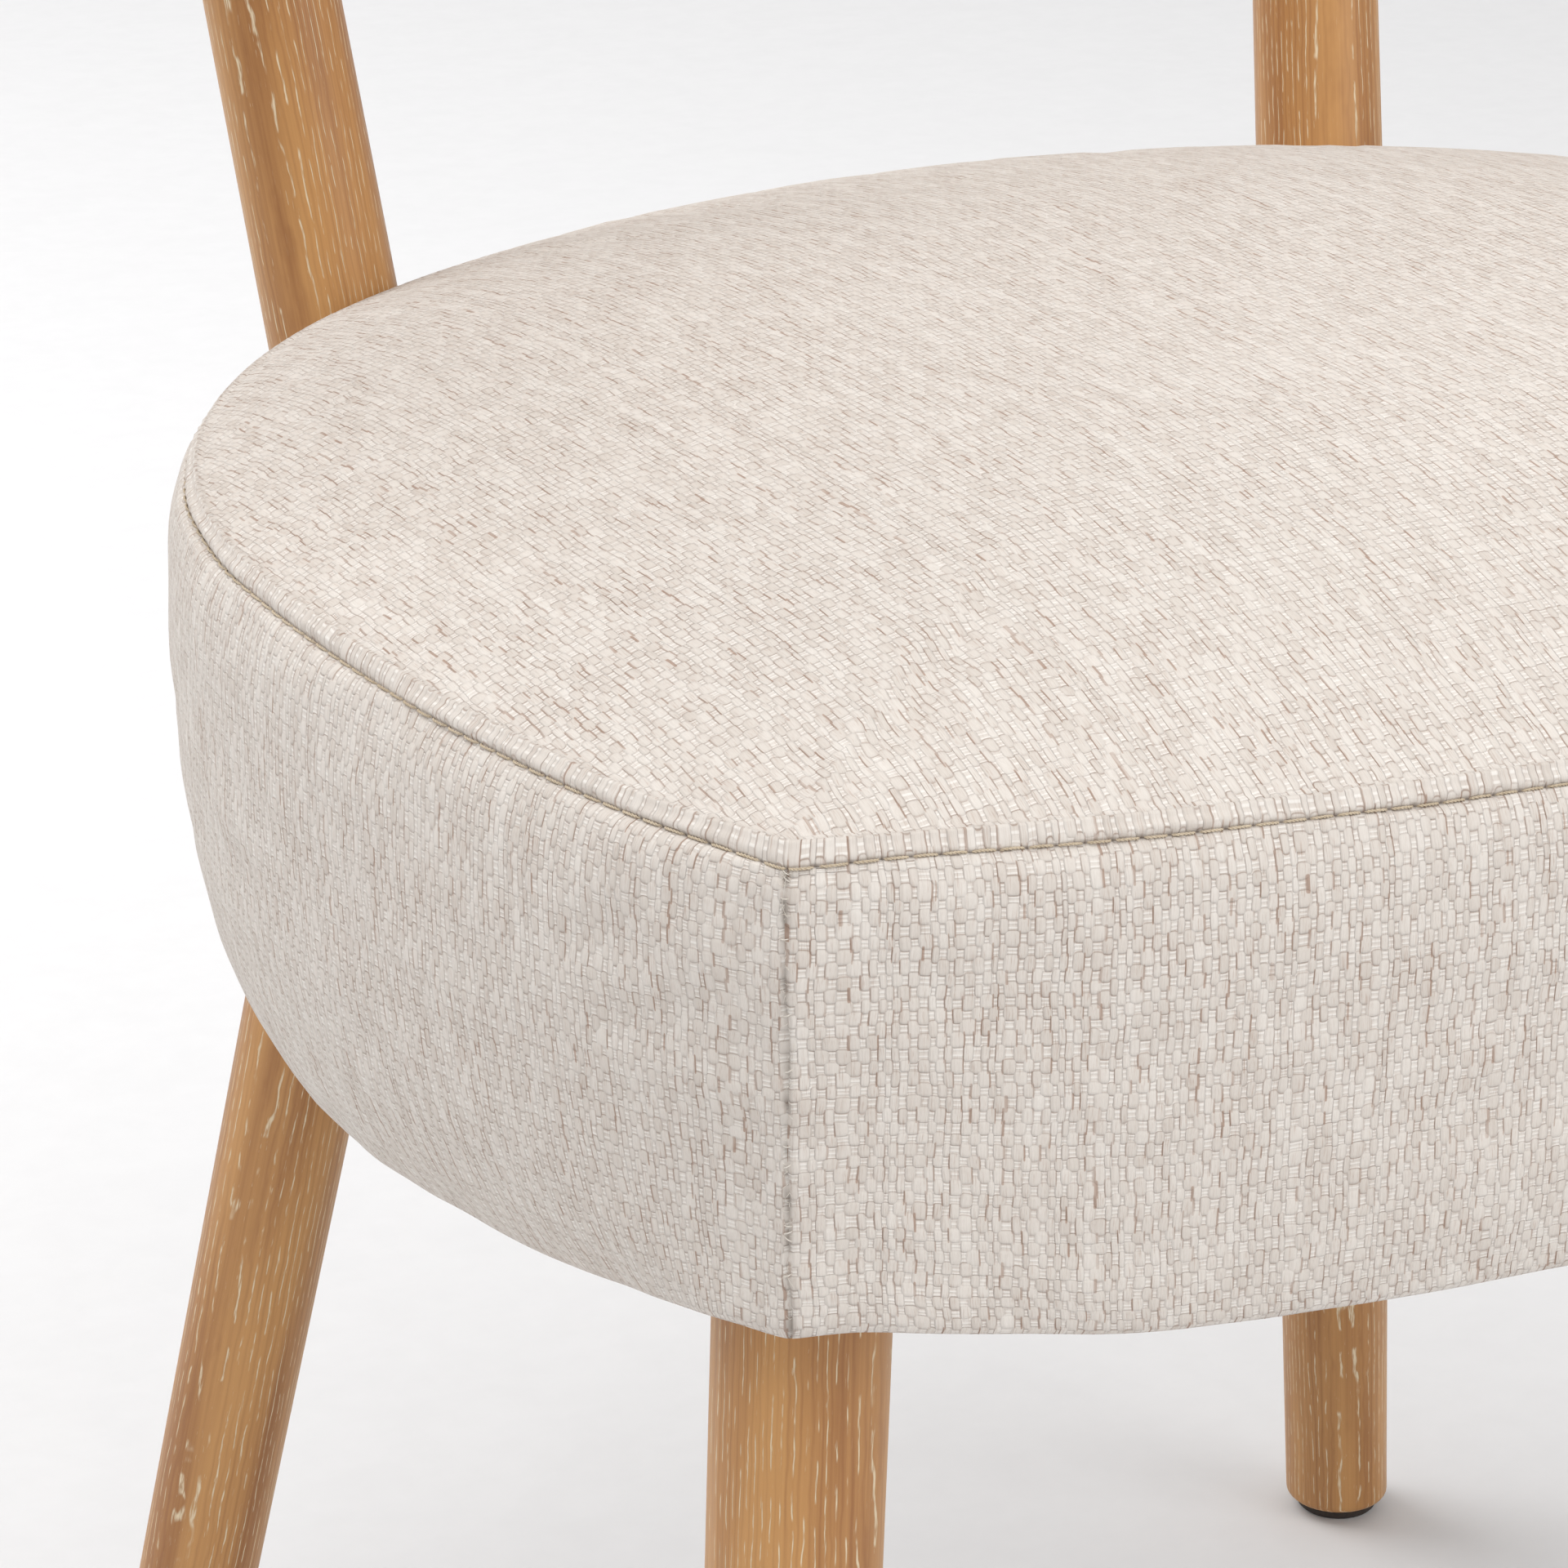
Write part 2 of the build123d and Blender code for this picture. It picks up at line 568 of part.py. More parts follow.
# Screws that lock the post tenons, under wooden plugs
out = rail_frame(POST_STATION)[1]
tenon_point = rear_axis(RAIL_UNDER_Z + TENON_SCREW_UP)
rail_face = tenon_point + out * (rail_size(POST_STATION)[1] / 2 + 3)
hole_floor = rail_face - out * (PLUG_T + 4)
tenon_screw = wood_screw(hole_floor, -out, TENON_SCREW_L)
plug = rod(hole_floor, out, PLUG_D, 30) & crest
screw_hole = rod(hole_floor, out, PLUG_D + 2 * GLUE_GAP, 30)
screw_hole += wood_screw(hole_floor, -out, TENON_SCREW_L, GLUE_GAP)
crest = crest - screw_hole - mirrored(screw_hole)
rear_leg -= screw_hole

# Dowels in the joints between crest rail and arms
joint_centre, joint_out, joint_along = rail_frame(JOINT_STATION)
arm_dowels = []
for shift in (-0.5, 0.5):
    start = joint_centre + joint_out * (shift * ARM_DOWEL_GAP) - joint_along * ARM_DOWEL_L / 2
    arm_dowels.append(rod(start, joint_along, ARM_DOWEL_D, ARM_DOWEL_L))
    hole = rod(start - joint_along, joint_along, ARM_DOWEL_D + 2 * GLUE_GAP, ARM_DOWEL_L + 2)
    crest = crest - hole - mirrored(hole)
    arm -= hole

# Seat frame: one ring cut into rails and blocks
notch = post_notch()
frame_plate = plate(PADDING, RAIL_Z, RAIL_H)
thin_ring = frame_plate - plate(PADDING + RAIL_T, RAIL_Z - 1, RAIL_H + 2)
front_half_box, back_half_box = region(-FAR / 2, FAR / 2, -FAR / 2, 0), region(-FAR / 2, FAR / 2, 0, FAR / 2)
right_half_box = region(0, FAR / 2, -FAR / 2, FAR / 2)
front_rail = thin_ring & front_half_box & BEFORE[0] & mirrored(BEFORE[0])
front_block = frame_plate & front_half_box & right_half_box & AFTER[0] & BEFORE[1]
front_block &= beyond(MITER, -FRONT_BLOCK_DEPTH, (CORNER_X, CORNER_Y, RAIL_Z))
side_rail = thin_ring & right_half_box & AFTER[1] & BEFORE[2]
rear_block = frame_plate & back_half_box & right_half_box & AFTER[2] & BEFORE[3]
rear_block &= beyond(OUT, -BLOCK_FACE, KNEE)
rear_rail = thin_ring & back_half_box & AFTER[3] & mirrored(AFTER[3])
front_block -= leg_bore
rear_block -= notch
for bore in bolt_bores:
    rear_block -= bore
for dowel in frame_dowels(GLUE_GAP):
    front_block -= dowel
    side_rail -= dowel
    rear_block -= dowel
    front_rail = front_rail - dowel - mirrored(dowel)
    rear_rail = rear_rail - dowel - mirrored(dowel)

# Deck, screwed down all round
deck = plate(PADDING, FRAME_TOP, DECK_T) - notch - mirrored(notch)
for x in (-DECK_VENT_X, DECK_VENT_X):
    for y in (-DECK_VENT_Y, DECK_VENT_Y):
        deck -= Pos(x, y, FRAME_TOP) * Cylinder(DECK_VENT_D / 2, 4 * DECK_T)
deck_screws = []
screw_places = [rim_place(x, 0, FRONT_ROWS) for x in FRONT_SCREW_X]
screw_places += [rim_place(y, 1, BACK_ROWS) for y in SIDE_SCREW_Y]
screw_places.append(rim_place(BACK_SCREW_X, 0, BACK_ROWS[::-1]))
for place in screw_places:
    head = (place[0] - MID_RAIL * place[2], place[1] - MID_RAIL * place[3], DECK_TOP)
    deck_screws.append(wood_screw(head, (0, 0, -1), DECK_SCREW_L))
    hole = wood_screw(head, (0, 0, -1), DECK_SCREW_L, GLUE_GAP)
    deck = deck - hole - mirrored(hole)
    front_rail = front_rail - hole - mirrored(hole)
    rear_rail = rear_rail - hole - mirrored(hole)
    side_rail -= hole
    front_block -= hole

# Foam, padding and covers
notches = notch + mirrored(notch)
leg_hole = rod(front_axis(EDGE_Z - 40), FRONT_UP, FRONT_LEG_D + 2 * NOTCH_GAP, RAIL_Z - EDGE_Z + 44)
leg_holes = leg_hole + mirrored(leg_hole)
inner = boxing_solid(COVER_T)
foam = (inner & slab(DECK_TOP, FAR)) + crown_solid(COVER_T)
foam -= notches
padding = (inner & slab(0, DECK_TOP)) - plate(PADDING, RAIL_Z, FAR / 2) - plate(HEM, 0, RAIL_Z)
padding = padding - plate(HEM, RAIL_Z - 1, 2) - notches - leg_holes
for bore in bolt_bores:
    padding = padding - bore - mirrored(bore)
cover_top = crown_solid(0) - crown_solid(COVER_T) - notches
boxing = boxing_solid(0) - inner - plate(HEM, 0, RAIL_Z) - notches - leg_holes
outer_corner = (CORNER_X + SEAM_OUT * MITER.X, CORNER_Y + SEAM_OUT * MITER.Y)
inner_corner = (CORNER_X - SEAM_IN * MITER.X, CORNER_Y - SEAM_IN * MITER.Y)
front_wedge = prism([outer_corner, inner_corner, (-inner_corner[0], inner_corner[1]),
                     (-outer_corner[0], outer_corner[1])], 0, FAR)
boxing_front = boxing & front_wedge
boxing_side = boxing - front_wedge
dust_cover = plate(HEM + 1, RAIL_Z - DUST_COVER_T, DUST_COVER_T) - notches - leg_holes

# Staples through the dust cover into the rails
def staple_at(place, gap=0.0):
    """One staple, or its holes when there is a gap round the wire."""
    wire = STAPLE_WIRE + 2 * gap
    half = (STAPLE_W - STAPLE_WIRE) / 2
    shape = Pos(0, 0, -STAPLE_WIRE / 2) * Box(STAPLE_W, STAPLE_WIRE, STAPLE_WIRE) if gap == 0.0 else None
    legs = [Pos(x, 0, (STAPLE_L + gap) / 2) * Box(wire, wire, STAPLE_L + gap) for x in (-half, half)]
    shape = legs[0] + legs[1] if shape is None else shape + legs[0] + legs[1]
    x, y, nx, ny = place
    middle = Vector(x - STAPLE_INSET * nx, y - STAPLE_INSET * ny, RAIL_Z - DUST_COVER_T)
    return Plane(origin=middle, x_dir=(-ny, nx, 0), z_dir=(0, 0, 1)) * shape


def staple_places():
    """Even steps along the right-hand half of the outline, clear of its corner, legs and posts."""
    rows = [r for r in FRONT_ROWS if r[0] < CORNER_X - STAPLE_CLEAR_X]
    rows += [r for r in BACK_ROWS if r[1] > CORNER_Y + STAPLE_CLEAR_Y]
    places, walked = [], STAPLE_PITCH / 2
    for a, b in zip(rows, rows[1:]):
        step = hypot(b[0] - a[0], b[1] - a[1])
        while walked < step:
            t = walked / step
            places.append([a[k] + t * (b[k] - a[k]) for k in range(4)])
            walked += STAPLE_PITCH
        walked -= step
    leg = front_axis(RAIL_Z)
    return [p for p in places if hypot(p[0] - KNEE.X, p[1] - KNEE.Y) > KNEE_D
            and hypot(p[0] - leg.X, p[1] - leg.Y) > 1.6 * FRONT_LEG_D]


staples = [staple_at(place) for place in staple_places()]
for hole in [staple_at(place, GLUE_GAP) for place in staple_places()]:
    dust_cover = dust_cover - hole - mirrored(hole)
    front_rail = front_rail - hole - mirrored(hole)
    rear_rail = rear_rail - hole - mirrored(hole)
    side_rail -= hole
    front_block -= hole
    rear_block -= hole

add_pair("front_leg", front_leg)
add_pair("rear_leg", rear_leg)
add_pair("arm", arm)
add_pair("side_rail", side_rail)
add_pair("front_block", front_block)
add_pair("rear_block", rear_block)
PARTS["crest_rail"] = crest
PARTS["front_rail"] = front_rail
PARTS["rear_rail"] = rear_rail
PARTS["seat_deck"] = deck
PARTS["seat_foam"] = foam
PARTS["boxing_padding"] = padding
PARTS["cover_top"] = cover_top
PARTS["boxing_front"] = boxing_front
PARTS["boxing_side"] = boxing_side
PARTS["dust_cover"] = dust_cover
add_group("leg_bolts", [leg_bolt])
add_group("leg_washers", [leg_washer])
add_group("leg_inserts", [insert(tenon_top, -FRONT_UP)])
add_group("post_bolts", post_bolts)
add_group("post_washers", post_washers)
add_group("post_inserts", post_inserts)
add_group("frame_dowels", frame_dowels(0.0))
add_group("arm_dowels", arm_dowels)
add_group("tenon_screws", [tenon_screw])
add_group("screw_plugs", [plug])
add_group("deck_screws", deck_screws)
add_group("staples", staples)
add_group("glides", glides)
add_group("glide_nails", [nail_front, nail_rear])

boxes = [shape.bounding_box() for shape in PARTS.values() if not isinstance(shape, list)]
middle_y = (min(b.min.Y for b in boxes) + max(b.max.Y for b in boxes)) / 2
print("moved along y by", round(-middle_y, 3))
to_middle = Pos(0, -middle_y, 0)
for name, shape in PARTS.items():
    if isinstance(shape, list):
        placed = Compound(children=[to_middle * s for s in shape])
    else:
        placed = to_middle * shape
    export_step(placed, f"parts/{name}.step")
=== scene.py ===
"""An upholstered armchair in limed oak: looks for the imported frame, in metres, +Z up, sitter facing -Y."""

import json
import logging
import math
from dataclasses import dataclass, field
from enum import Enum

import bpy
import numpy as np
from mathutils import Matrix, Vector

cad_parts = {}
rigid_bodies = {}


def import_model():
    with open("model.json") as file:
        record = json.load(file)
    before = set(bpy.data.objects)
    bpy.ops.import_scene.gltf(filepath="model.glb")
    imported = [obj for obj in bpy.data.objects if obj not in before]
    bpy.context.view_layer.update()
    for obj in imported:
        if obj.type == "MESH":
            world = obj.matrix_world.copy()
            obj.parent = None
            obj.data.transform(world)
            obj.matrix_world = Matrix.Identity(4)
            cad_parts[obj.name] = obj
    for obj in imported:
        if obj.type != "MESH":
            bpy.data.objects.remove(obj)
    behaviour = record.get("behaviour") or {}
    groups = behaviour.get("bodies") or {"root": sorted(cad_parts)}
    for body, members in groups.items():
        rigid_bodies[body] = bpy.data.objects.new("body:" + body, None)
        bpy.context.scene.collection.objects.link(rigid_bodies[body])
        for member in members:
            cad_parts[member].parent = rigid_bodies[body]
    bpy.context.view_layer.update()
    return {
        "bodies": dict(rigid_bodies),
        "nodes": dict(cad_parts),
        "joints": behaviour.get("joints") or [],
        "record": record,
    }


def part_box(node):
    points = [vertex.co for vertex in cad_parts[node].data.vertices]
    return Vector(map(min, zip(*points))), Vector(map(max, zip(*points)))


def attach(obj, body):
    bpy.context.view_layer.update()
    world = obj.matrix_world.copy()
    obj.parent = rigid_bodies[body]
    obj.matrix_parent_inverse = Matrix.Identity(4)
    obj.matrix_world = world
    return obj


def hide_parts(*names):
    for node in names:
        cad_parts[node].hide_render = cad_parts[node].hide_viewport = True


LOG = logging.getLogger("armchair")
MM = 0.001
ROOT = "root"
Array = np.ndarray
Socket = bpy.types.NodeSocket
Value = Socket | float | tuple[float, ...]


# ---------------------------------------------------------------- shader building

class Net:
    """Adds nodes to one shader tree and joins them."""

    def __init__(self, tree: bpy.types.NodeTree) -> None:
        """Works on the given tree."""
        self.tree = tree

    def put(self, socket: Socket, value: Value) -> None:
        """Links a socket to the value when it is a socket, and sets it when it is a number."""
        if isinstance(value, bpy.types.NodeSocket):
            self.tree.links.new(value, socket)
        else:
            socket.default_value = value

    def node(self, kind: str, values: dict[str, Value] | None = None, **settings: object) -> bpy.types.Node:
        """Adds a node.

        Args:
            kind: The node's type name, without its Shader prefix.
            values: Input values by socket name.
            settings: Properties of the node itself.

        Returns:
            The new node.
        """
        made = self.tree.nodes.new("ShaderNode" + kind)
        for name, setting in settings.items():
            setattr(made, name, setting)
        for name, value in (values or {}).items():
            self.put(made.inputs[name], value)
        return made

    def math(self, operation: str, *values: Value, clamp: bool = False) -> Socket:
        """One step of arithmetic.

        Args:
            operation: The maths node's operation.
            values: Its one, two or three inputs.
            clamp: Whether the result is kept between 0 and 1.

        Returns:
            The result's socket.
        """
        made = self.tree.nodes.new("ShaderNodeMath")
        made.operation = operation
        made.use_clamp = clamp
        for socket, value in zip(made.inputs, values):
            self.put(socket, value)
        return made.outputs[0]

    def join(self, x: Value, y: Value, z: Value = 0.0) -> Socket:
        """A vector from three numbers."""
        return self.node("CombineXYZ", {"X": x, "Y": y, "Z": z}).outputs[0]

    def split(self, vector: Socket) -> tuple[Socket, Socket, Socket]:
        """The three numbers of a vector."""
        made = self.node("SeparateXYZ", {"Vector": vector})
        return made.outputs[0], made.outputs[1], made.outputs[2]

    def noise(self, vector: Socket, scale: float, detail: float = 2.0, rough: float = 0.5) -> Socket:
        """Smooth noise from 0 to 1.

        Args:
            vector: Where it is read.
            scale: Its frequency.
            detail: How many finer layers it has.
            rough: How strong those are.

        Returns:
            The noise's socket.
        """
        made = self.node("TexNoise", {"Vector": vector, "Scale": scale, "Detail": detail, "Roughness": rough})
        return made.outputs[0]

    def spread(self, value: Value, low: float, high: float, to_low: float = 0.0,
               to_high: float = 1.0) -> Socket:
        """Maps low..high smoothly to to_low..to_high.

        Args:
            value: The number to map.
            low: Where the change starts.
            high: Where it ends.
            to_low: The result at and below low.
            to_high: The result at and above high.

        Returns:
            The mapped number's socket.
        """
        made = self.node("MapRange", interpolation_type="SMOOTHSTEP")
        for socket, one in zip(made.inputs, (value, low, high, to_low, to_high)):
            self.put(socket, one)
        return made.outputs[0]

    def mix(self, factor: Value, first: Value, second: Value, blend: str = "MIX") -> Socket:
        """Mixes two colours.

        Args:
            factor: Share of the second.
            first: Colour at 0.
            second: Colour at 1.
            blend: The way they are mixed.

        Returns:
            The mixed colour's socket.
        """
        made = self.node("Mix", data_type="RGBA", blend_type=blend)
        for index, one in ((0, factor), (6, first), (7, second)):
            self.put(made.inputs[index], one)
        return made.outputs[2]

    def group(self, tree: bpy.types.NodeTree, values: dict[str, Value]) -> bpy.types.Node:
        """Places a node group with its own values.

        Args:
            tree: The group.
            values: Its inputs by name.

        Returns:
            The group's node.
        """
        made = self.node("Group", node_tree=tree)
        for name, value in values.items():
            self.put(made.inputs[name], value)
        return made


def new_group(name: str, inputs: dict[str, str], outputs: dict[str, str]) -> tuple[Net, bpy.types.Node,
                                                                                   bpy.types.Node]:
    """Starts a shader node group.

    Args:
        name: Its name.
        inputs: Kind of each input socket (Float, Vector or Color) by name.
        outputs: The same for its outputs.

    Returns:
        The net, the group's input node and its output node.
    """
    tree = bpy.data.node_groups.new(name, "ShaderNodeTree")
    for direction, sockets in (("INPUT", inputs), ("OUTPUT", outputs)):
        for socket_name, kind in sockets.items():
            tree.interface.new_socket(name=socket_name, in_out=direction, socket_type="NodeSocket" + kind)
    return Net(tree), tree.nodes.new("NodeGroupInput"), tree.nodes.new("NodeGroupOutput")


def tone(red: int, green: int, blue: int) -> tuple[float, float, float, float]:
    """A display colour, 0 to 255, as the linear colour a shader takes."""
    linear = [c / 12.92 if c <= 0.04045 else ((c + 0.055) / 1.055) ** 2.4 for c in (red / 255, green / 255,
                                                                                    blue / 255)]
    return linear[0], linear[1], linear[2], 1.0


def float_group() -> bpy.types.NodeTree:
    """One half of the weave's floats: those of every second column and row.

    Returns:
        A group that gives height, the shadow round each float, a fleck mask and a tone.
    """
    net, start, end = new_group(
        "WarpFloats", {"Across": "Float", "Along": "Float", "Shift": "Float"},
        {"Height": "Float", "Shadow": "Float", "Fleck": "Float", "Tone": "Float"})
    p = net.math("MULTIPLY_ADD", start.outputs["Across"], 0.5, start.outputs["Shift"])
    q = net.math("MULTIPLY_ADD", start.outputs["Along"], 0.5, start.outputs["Shift"])
    column, row = net.math("ROUND", p), net.math("ROUND", q)
    chance = net.node("TexWhiteNoise", {"Vector": net.join(column, row, start.outputs["Shift"])})
    first, second, third = net.split(chance.outputs["Color"])
    x = net.math("MULTIPLY", net.math("SUBTRACT", p, column), 2.0)
    x = net.math("ADD", x, net.math("MULTIPLY_ADD", second, 0.16, -0.08))
    y = net.math("MULTIPLY", net.math("SUBTRACT", q, row), 2.0)
    y = net.math("ADD", y, net.math("MULTIPLY_ADD", third, 0.12, -0.06))
    half_width = net.math("MULTIPLY_ADD", first, 0.30, 0.52)
    half_height = net.math("MULTIPLY_ADD", second, 0.12, 0.58)
    rx = net.math("DIVIDE", net.math("ABSOLUTE", x), half_width)
    ry = net.math("DIVIDE", net.math("ABSOLUTE", y), half_height)
    reach = net.math("ADD", net.math("POWER", rx, 3.0), net.math("POWER", ry, 3.6))
    inside = net.math("MAXIMUM", net.math("SUBTRACT", 1.0, reach), 0.0)
    height = net.math("POWER", inside, 0.55)
    strands = net.math("SINE", net.math("MULTIPLY_ADD", x, 15.0, net.math("MULTIPLY", third, 6.0)))
    height = net.math("MULTIPLY", height, net.math("MULTIPLY_ADD", strands, 0.05, 0.95))
    ring = net.math("DIVIDE", net.math("SUBTRACT", reach, 1.10), 0.22)
    ring = net.math("EXPONENT", net.math("MULTIPLY", net.math("MULTIPLY", ring, ring), -1.0))
    shadow = net.math("MULTIPLY", ring, net.spread(ry, 0.5, 1.0, 0.30, 1.0))
    shadow = net.math("MULTIPLY", shadow, net.math("MULTIPLY_ADD", third, 0.85, 0.15))
    side = net.math("MULTIPLY", net.math("SUBTRACT", first, 0.5), 40.0)
    side = net.math("MAXIMUM", net.math("MINIMUM", side, 1.0), -1.0)
    off = net.math("SUBTRACT", net.math("MULTIPLY", x, side), net.math("MULTIPLY", half_width, 0.86))
    line = net.spread(net.math("ABSOLUTE", off), 0.04, 0.15, 1.0, 0.0)
    line = net.math("MULTIPLY", line, net.spread(ry, 0.75, 1.15, 1.0, 0.0))
    for name, socket in (("Height", height), ("Shadow", shadow), ("Tone", third),
                         ("Fleck", net.math("MULTIPLY", line, second))):
        net.put(end.inputs[name], socket)
    return net.tree


def weave_group(floats: bpy.types.NodeTree) -> bpy.types.NodeTree:
    """A thick-and-thin plain weave, read from cloth coordinates in millimetres.

    Args:
        floats: The group that draws one half of the floats.

    Returns:
        A group that gives the cloth's colour and the height of its yarns.
    """
    net, start, end = new_group(
        "ThickThinWeave",
        {"Cloth": "Vector", "Column": "Float", "Row": "Float", "Light": "Color", "Dark": "Color",
         "Fleck": "Color"},
        {"Color": "Color", "Height": "Float"})
    cloth = start.outputs["Cloth"]
    x, y, z = net.split(cloth)
    wander = net.node("TexNoise", {"Vector": cloth, "Scale": 0.07, "Detail": 2.0}).outputs["Color"]
    wx, wy, _ = net.split(wander)
    x = net.math("ADD", x, net.math("MULTIPLY_ADD", wx, 1.6, -0.8))
    y = net.math("ADD", y, net.math("MULTIPLY_ADD", wy, 1.8, -0.9))
    slub_x = net.noise(net.join(x, z, 3.7), 0.42, 1.0)
    slub_y = net.noise(net.join(z, y, 9.1), 0.24, 1.0)
    across = net.math("ADD", net.math("DIVIDE", x, start.outputs["Column"]), net.math("MULTIPLY", slub_x,
                                                                                      0.80))
    across = net.math("MULTIPLY_ADD", net.noise(net.join(x, z, 17.3), 0.16, 1.0), 1.6, across)
    along = net.math("ADD", net.math("DIVIDE", y, start.outputs["Row"]), net.math("MULTIPLY", slub_y, 0.66))
    halves = [net.group(floats, {"Across": across, "Along": along, "Shift": shift}) for shift in (0.0, 0.5)]
    first, second = (half.outputs for half in halves)
    strands = net.math("SINE", net.math("MULTIPLY", along, 19.0))
    weft = net.math("MULTIPLY_ADD", strands, 0.09, 0.20)
    floats_high = net.math("MAXIMUM", first["Height"], second["Height"])
    fibre = net.noise(net.join(net.math("MULTIPLY", x, 5.0), net.math("MULTIPLY", y, 0.7), z), 1.0, 2.0)
    height = net.math("MAXIMUM", floats_high, weft)
    height = net.math("ADD", height, net.math("MULTIPLY", fibre, 0.10))
    shadow = net.math("MULTIPLY", first["Shadow"], net.spread(second["Height"], 0.1, 0.4, 1.0, 0.0))
    other = net.math("MULTIPLY", second["Shadow"], net.spread(first["Height"], 0.1, 0.4, 1.0, 0.0))
    shadow = net.math("MAXIMUM", shadow, other)
    own = net.mix(net.math("GREATER_THAN", first["Height"], second["Height"]),
                  net.join(second["Tone"], 0.0), net.join(first["Tone"], 0.0))
    own_tone = net.split(own)[0]
    cluster = net.noise(net.join(net.math("MULTIPLY", x, 0.34), net.math("MULTIPLY", y, 0.035), z), 1.0, 3.0,
                        0.6)
    fleck = net.math("MAXIMUM", first["Fleck"], second["Fleck"])
    fleck = net.math("MULTIPLY", net.spread(fleck, 0.12, 0.50), net.spread(cluster, 0.34, 0.62, 0.12, 1.0))
    ply = net.noise(net.join(net.math("MULTIPLY", x, 3.6), net.math("MULTIPLY", y, 0.22), z), 1.0, 2.0, 0.6)
    ply = net.math("MULTIPLY", net.spread(ply, 0.52, 0.72), net.spread(cluster, 0.30, 0.70, 0.25, 1.0))
    shade = net.math("ADD", net.math("MULTIPLY", own_tone, 0.30), net.math("MULTIPLY", fibre, 0.30))
    shade = net.math("ADD", shade, net.math("MULTIPLY_ADD", cluster, 0.9, -0.36))
    colour = net.mix(shade, start.outputs["Light"], start.outputs["Dark"])
    pale = net.math("MULTIPLY", net.spread(strands, 0.1, 0.9), net.spread(floats_high, 0.05, 0.25, 1.0, 0.0))
    colour = net.mix(net.math("MULTIPLY", pale, 0.55), colour, tone(246, 243, 238))
    colour = net.mix(net.math("MULTIPLY", ply, 0.52), colour, start.outputs["Fleck"])
    colour = net.mix(net.math("MULTIPLY", shadow, 0.66), colour, start.outputs["Fleck"], "MULTIPLY")
    colour = net.mix(net.math("MULTIPLY", fleck, 0.78), colour, start.outputs["Fleck"])
    net.put(end.inputs["Color"], colour)
    net.put(end.inputs["Height"], height)
    return net.tree


def grain_group() -> bpy.types.NodeTree:
    """Oak grain: rings, streaks and short pores, some filled with white wax.

    Returns:
        A group that reads grain coordinates in millimetres, x along the member, and gives a colour,
        a roughness and a height.
    """
    net, start, end = new_group(
        "OpenGrain",
        {"Grain": "Vector", "Light": "Color", "Dark": "Color", "Wax": "Color", "Waxed": "Float",
         "Ring": "Float"},
        {"Color": "Color", "Roughness": "Float", "Height": "Float"})
    a, b, c = net.split(start.outputs["Grain"])
    slow = net.join(net.math("MULTIPLY", a, 0.004), net.math("MULTIPLY", b, 0.03), net.math("MULTIPLY", c,
                                                                                            0.03))
    drift = net.noise(slow, 1.0, 2.0)
    wiggle = net.noise(net.join(net.math("MULTIPLY", a, 0.09), net.math("MULTIPLY", b, 0.25),
                                net.math("MULTIPLY", c, 0.25)), 1.0, 2.0)
    radial = net.math("SQRT", net.math("ADD", net.math("POWER", net.math("ADD", b, 46.0), 2.0),
                                       net.math("POWER", c, 2.0)))
    turn = net.math("DIVIDE", radial, start.outputs["Ring"])
    turn = net.math("ADD", turn, net.math("MULTIPLY_ADD", drift, 4.5, net.math("MULTIPLY", wiggle, 0.65)))
    year = net.math("FLOOR", turn)
    phase = net.math("ABSOLUTE", net.math("SUBTRACT", net.math("SUBTRACT", turn, year), 0.5))
    streak = net.noise(net.join(net.math("MULTIPLY", a, 0.012), net.math("MULTIPLY", b, 1.1),
                                net.math("MULTIPLY", c, 1.1)), 1.0, 4.0, 0.6)
    broad = net.noise(net.join(net.math("MULTIPLY", a, 0.006), net.math("MULTIPLY", b, 0.07),
                               net.math("MULTIPLY", c, 0.07)), 1.0, 2.0)
    dash = net.noise(net.join(net.math("MULTIPLY", a, 0.13), net.math("MULTIPLY", year, 5.37),
                              net.math("MULTIPLY", c, 0.10)), 1.0, 1.0)
    fine = net.noise(net.join(net.math("MULTIPLY", a, 0.22), net.math("MULTIPLY", b, 2.6),
                              net.math("MULTIPLY", c, 2.6)), 1.0, 2.0)
    vessel = net.spread(phase, 0.02, 0.10, 1.0, 0.0)
    pore = net.math("MULTIPLY", vessel, net.spread(dash, 0.42, 0.54))
    pore = net.math("MULTIPLY", pore, net.spread(fine, 0.36, 0.54, 0.15, 1.0))
    small = net.math("MULTIPLY", net.spread(fine, 0.66, 0.74), net.spread(phase, 0.10, 0.30, 1.0, 0.15))
    pore = net.math("MAXIMUM", pore, net.math("MULTIPLY", small, 0.6))
    late = net.spread(phase, 0.28, 0.5)
    depth = net.math("MULTIPLY_ADD", late, 0.16, net.math("MULTIPLY", streak, 0.55))
    depth = net.math("ADD", depth, net.math("MULTIPLY_ADD", broad, 1.6, -0.65))
    colour = net.mix(net.spread(depth, 0.05, 0.95), start.outputs["Light"], start.outputs["Dark"])
    white = net.math("MULTIPLY", pore, start.outputs["Waxed"])
    unfilled = net.math("SUBTRACT", 1.0, start.outputs["Waxed"])
    dark = net.math("MULTIPLY", pore, unfilled)
    colour = net.mix(net.math("MULTIPLY", dark, 0.5), colour, tone(110, 78, 48))
    colour = net.mix(white, colour, start.outputs["Wax"])
    net.put(end.inputs["Color"], colour)
    net.put(end.inputs["Roughness"], net.math("MULTIPLY_ADD", pore, 0.2, net.math("MULTIPLY_ADD", streak,
                                                                                  0.12, 0.40)))
    net.put(end.inputs["Height"], net.math("MULTIPLY", net.math("ADD", pore, net.math("MULTIPLY", streak,
                                                                                      0.25)), -1.0))
    return net.tree


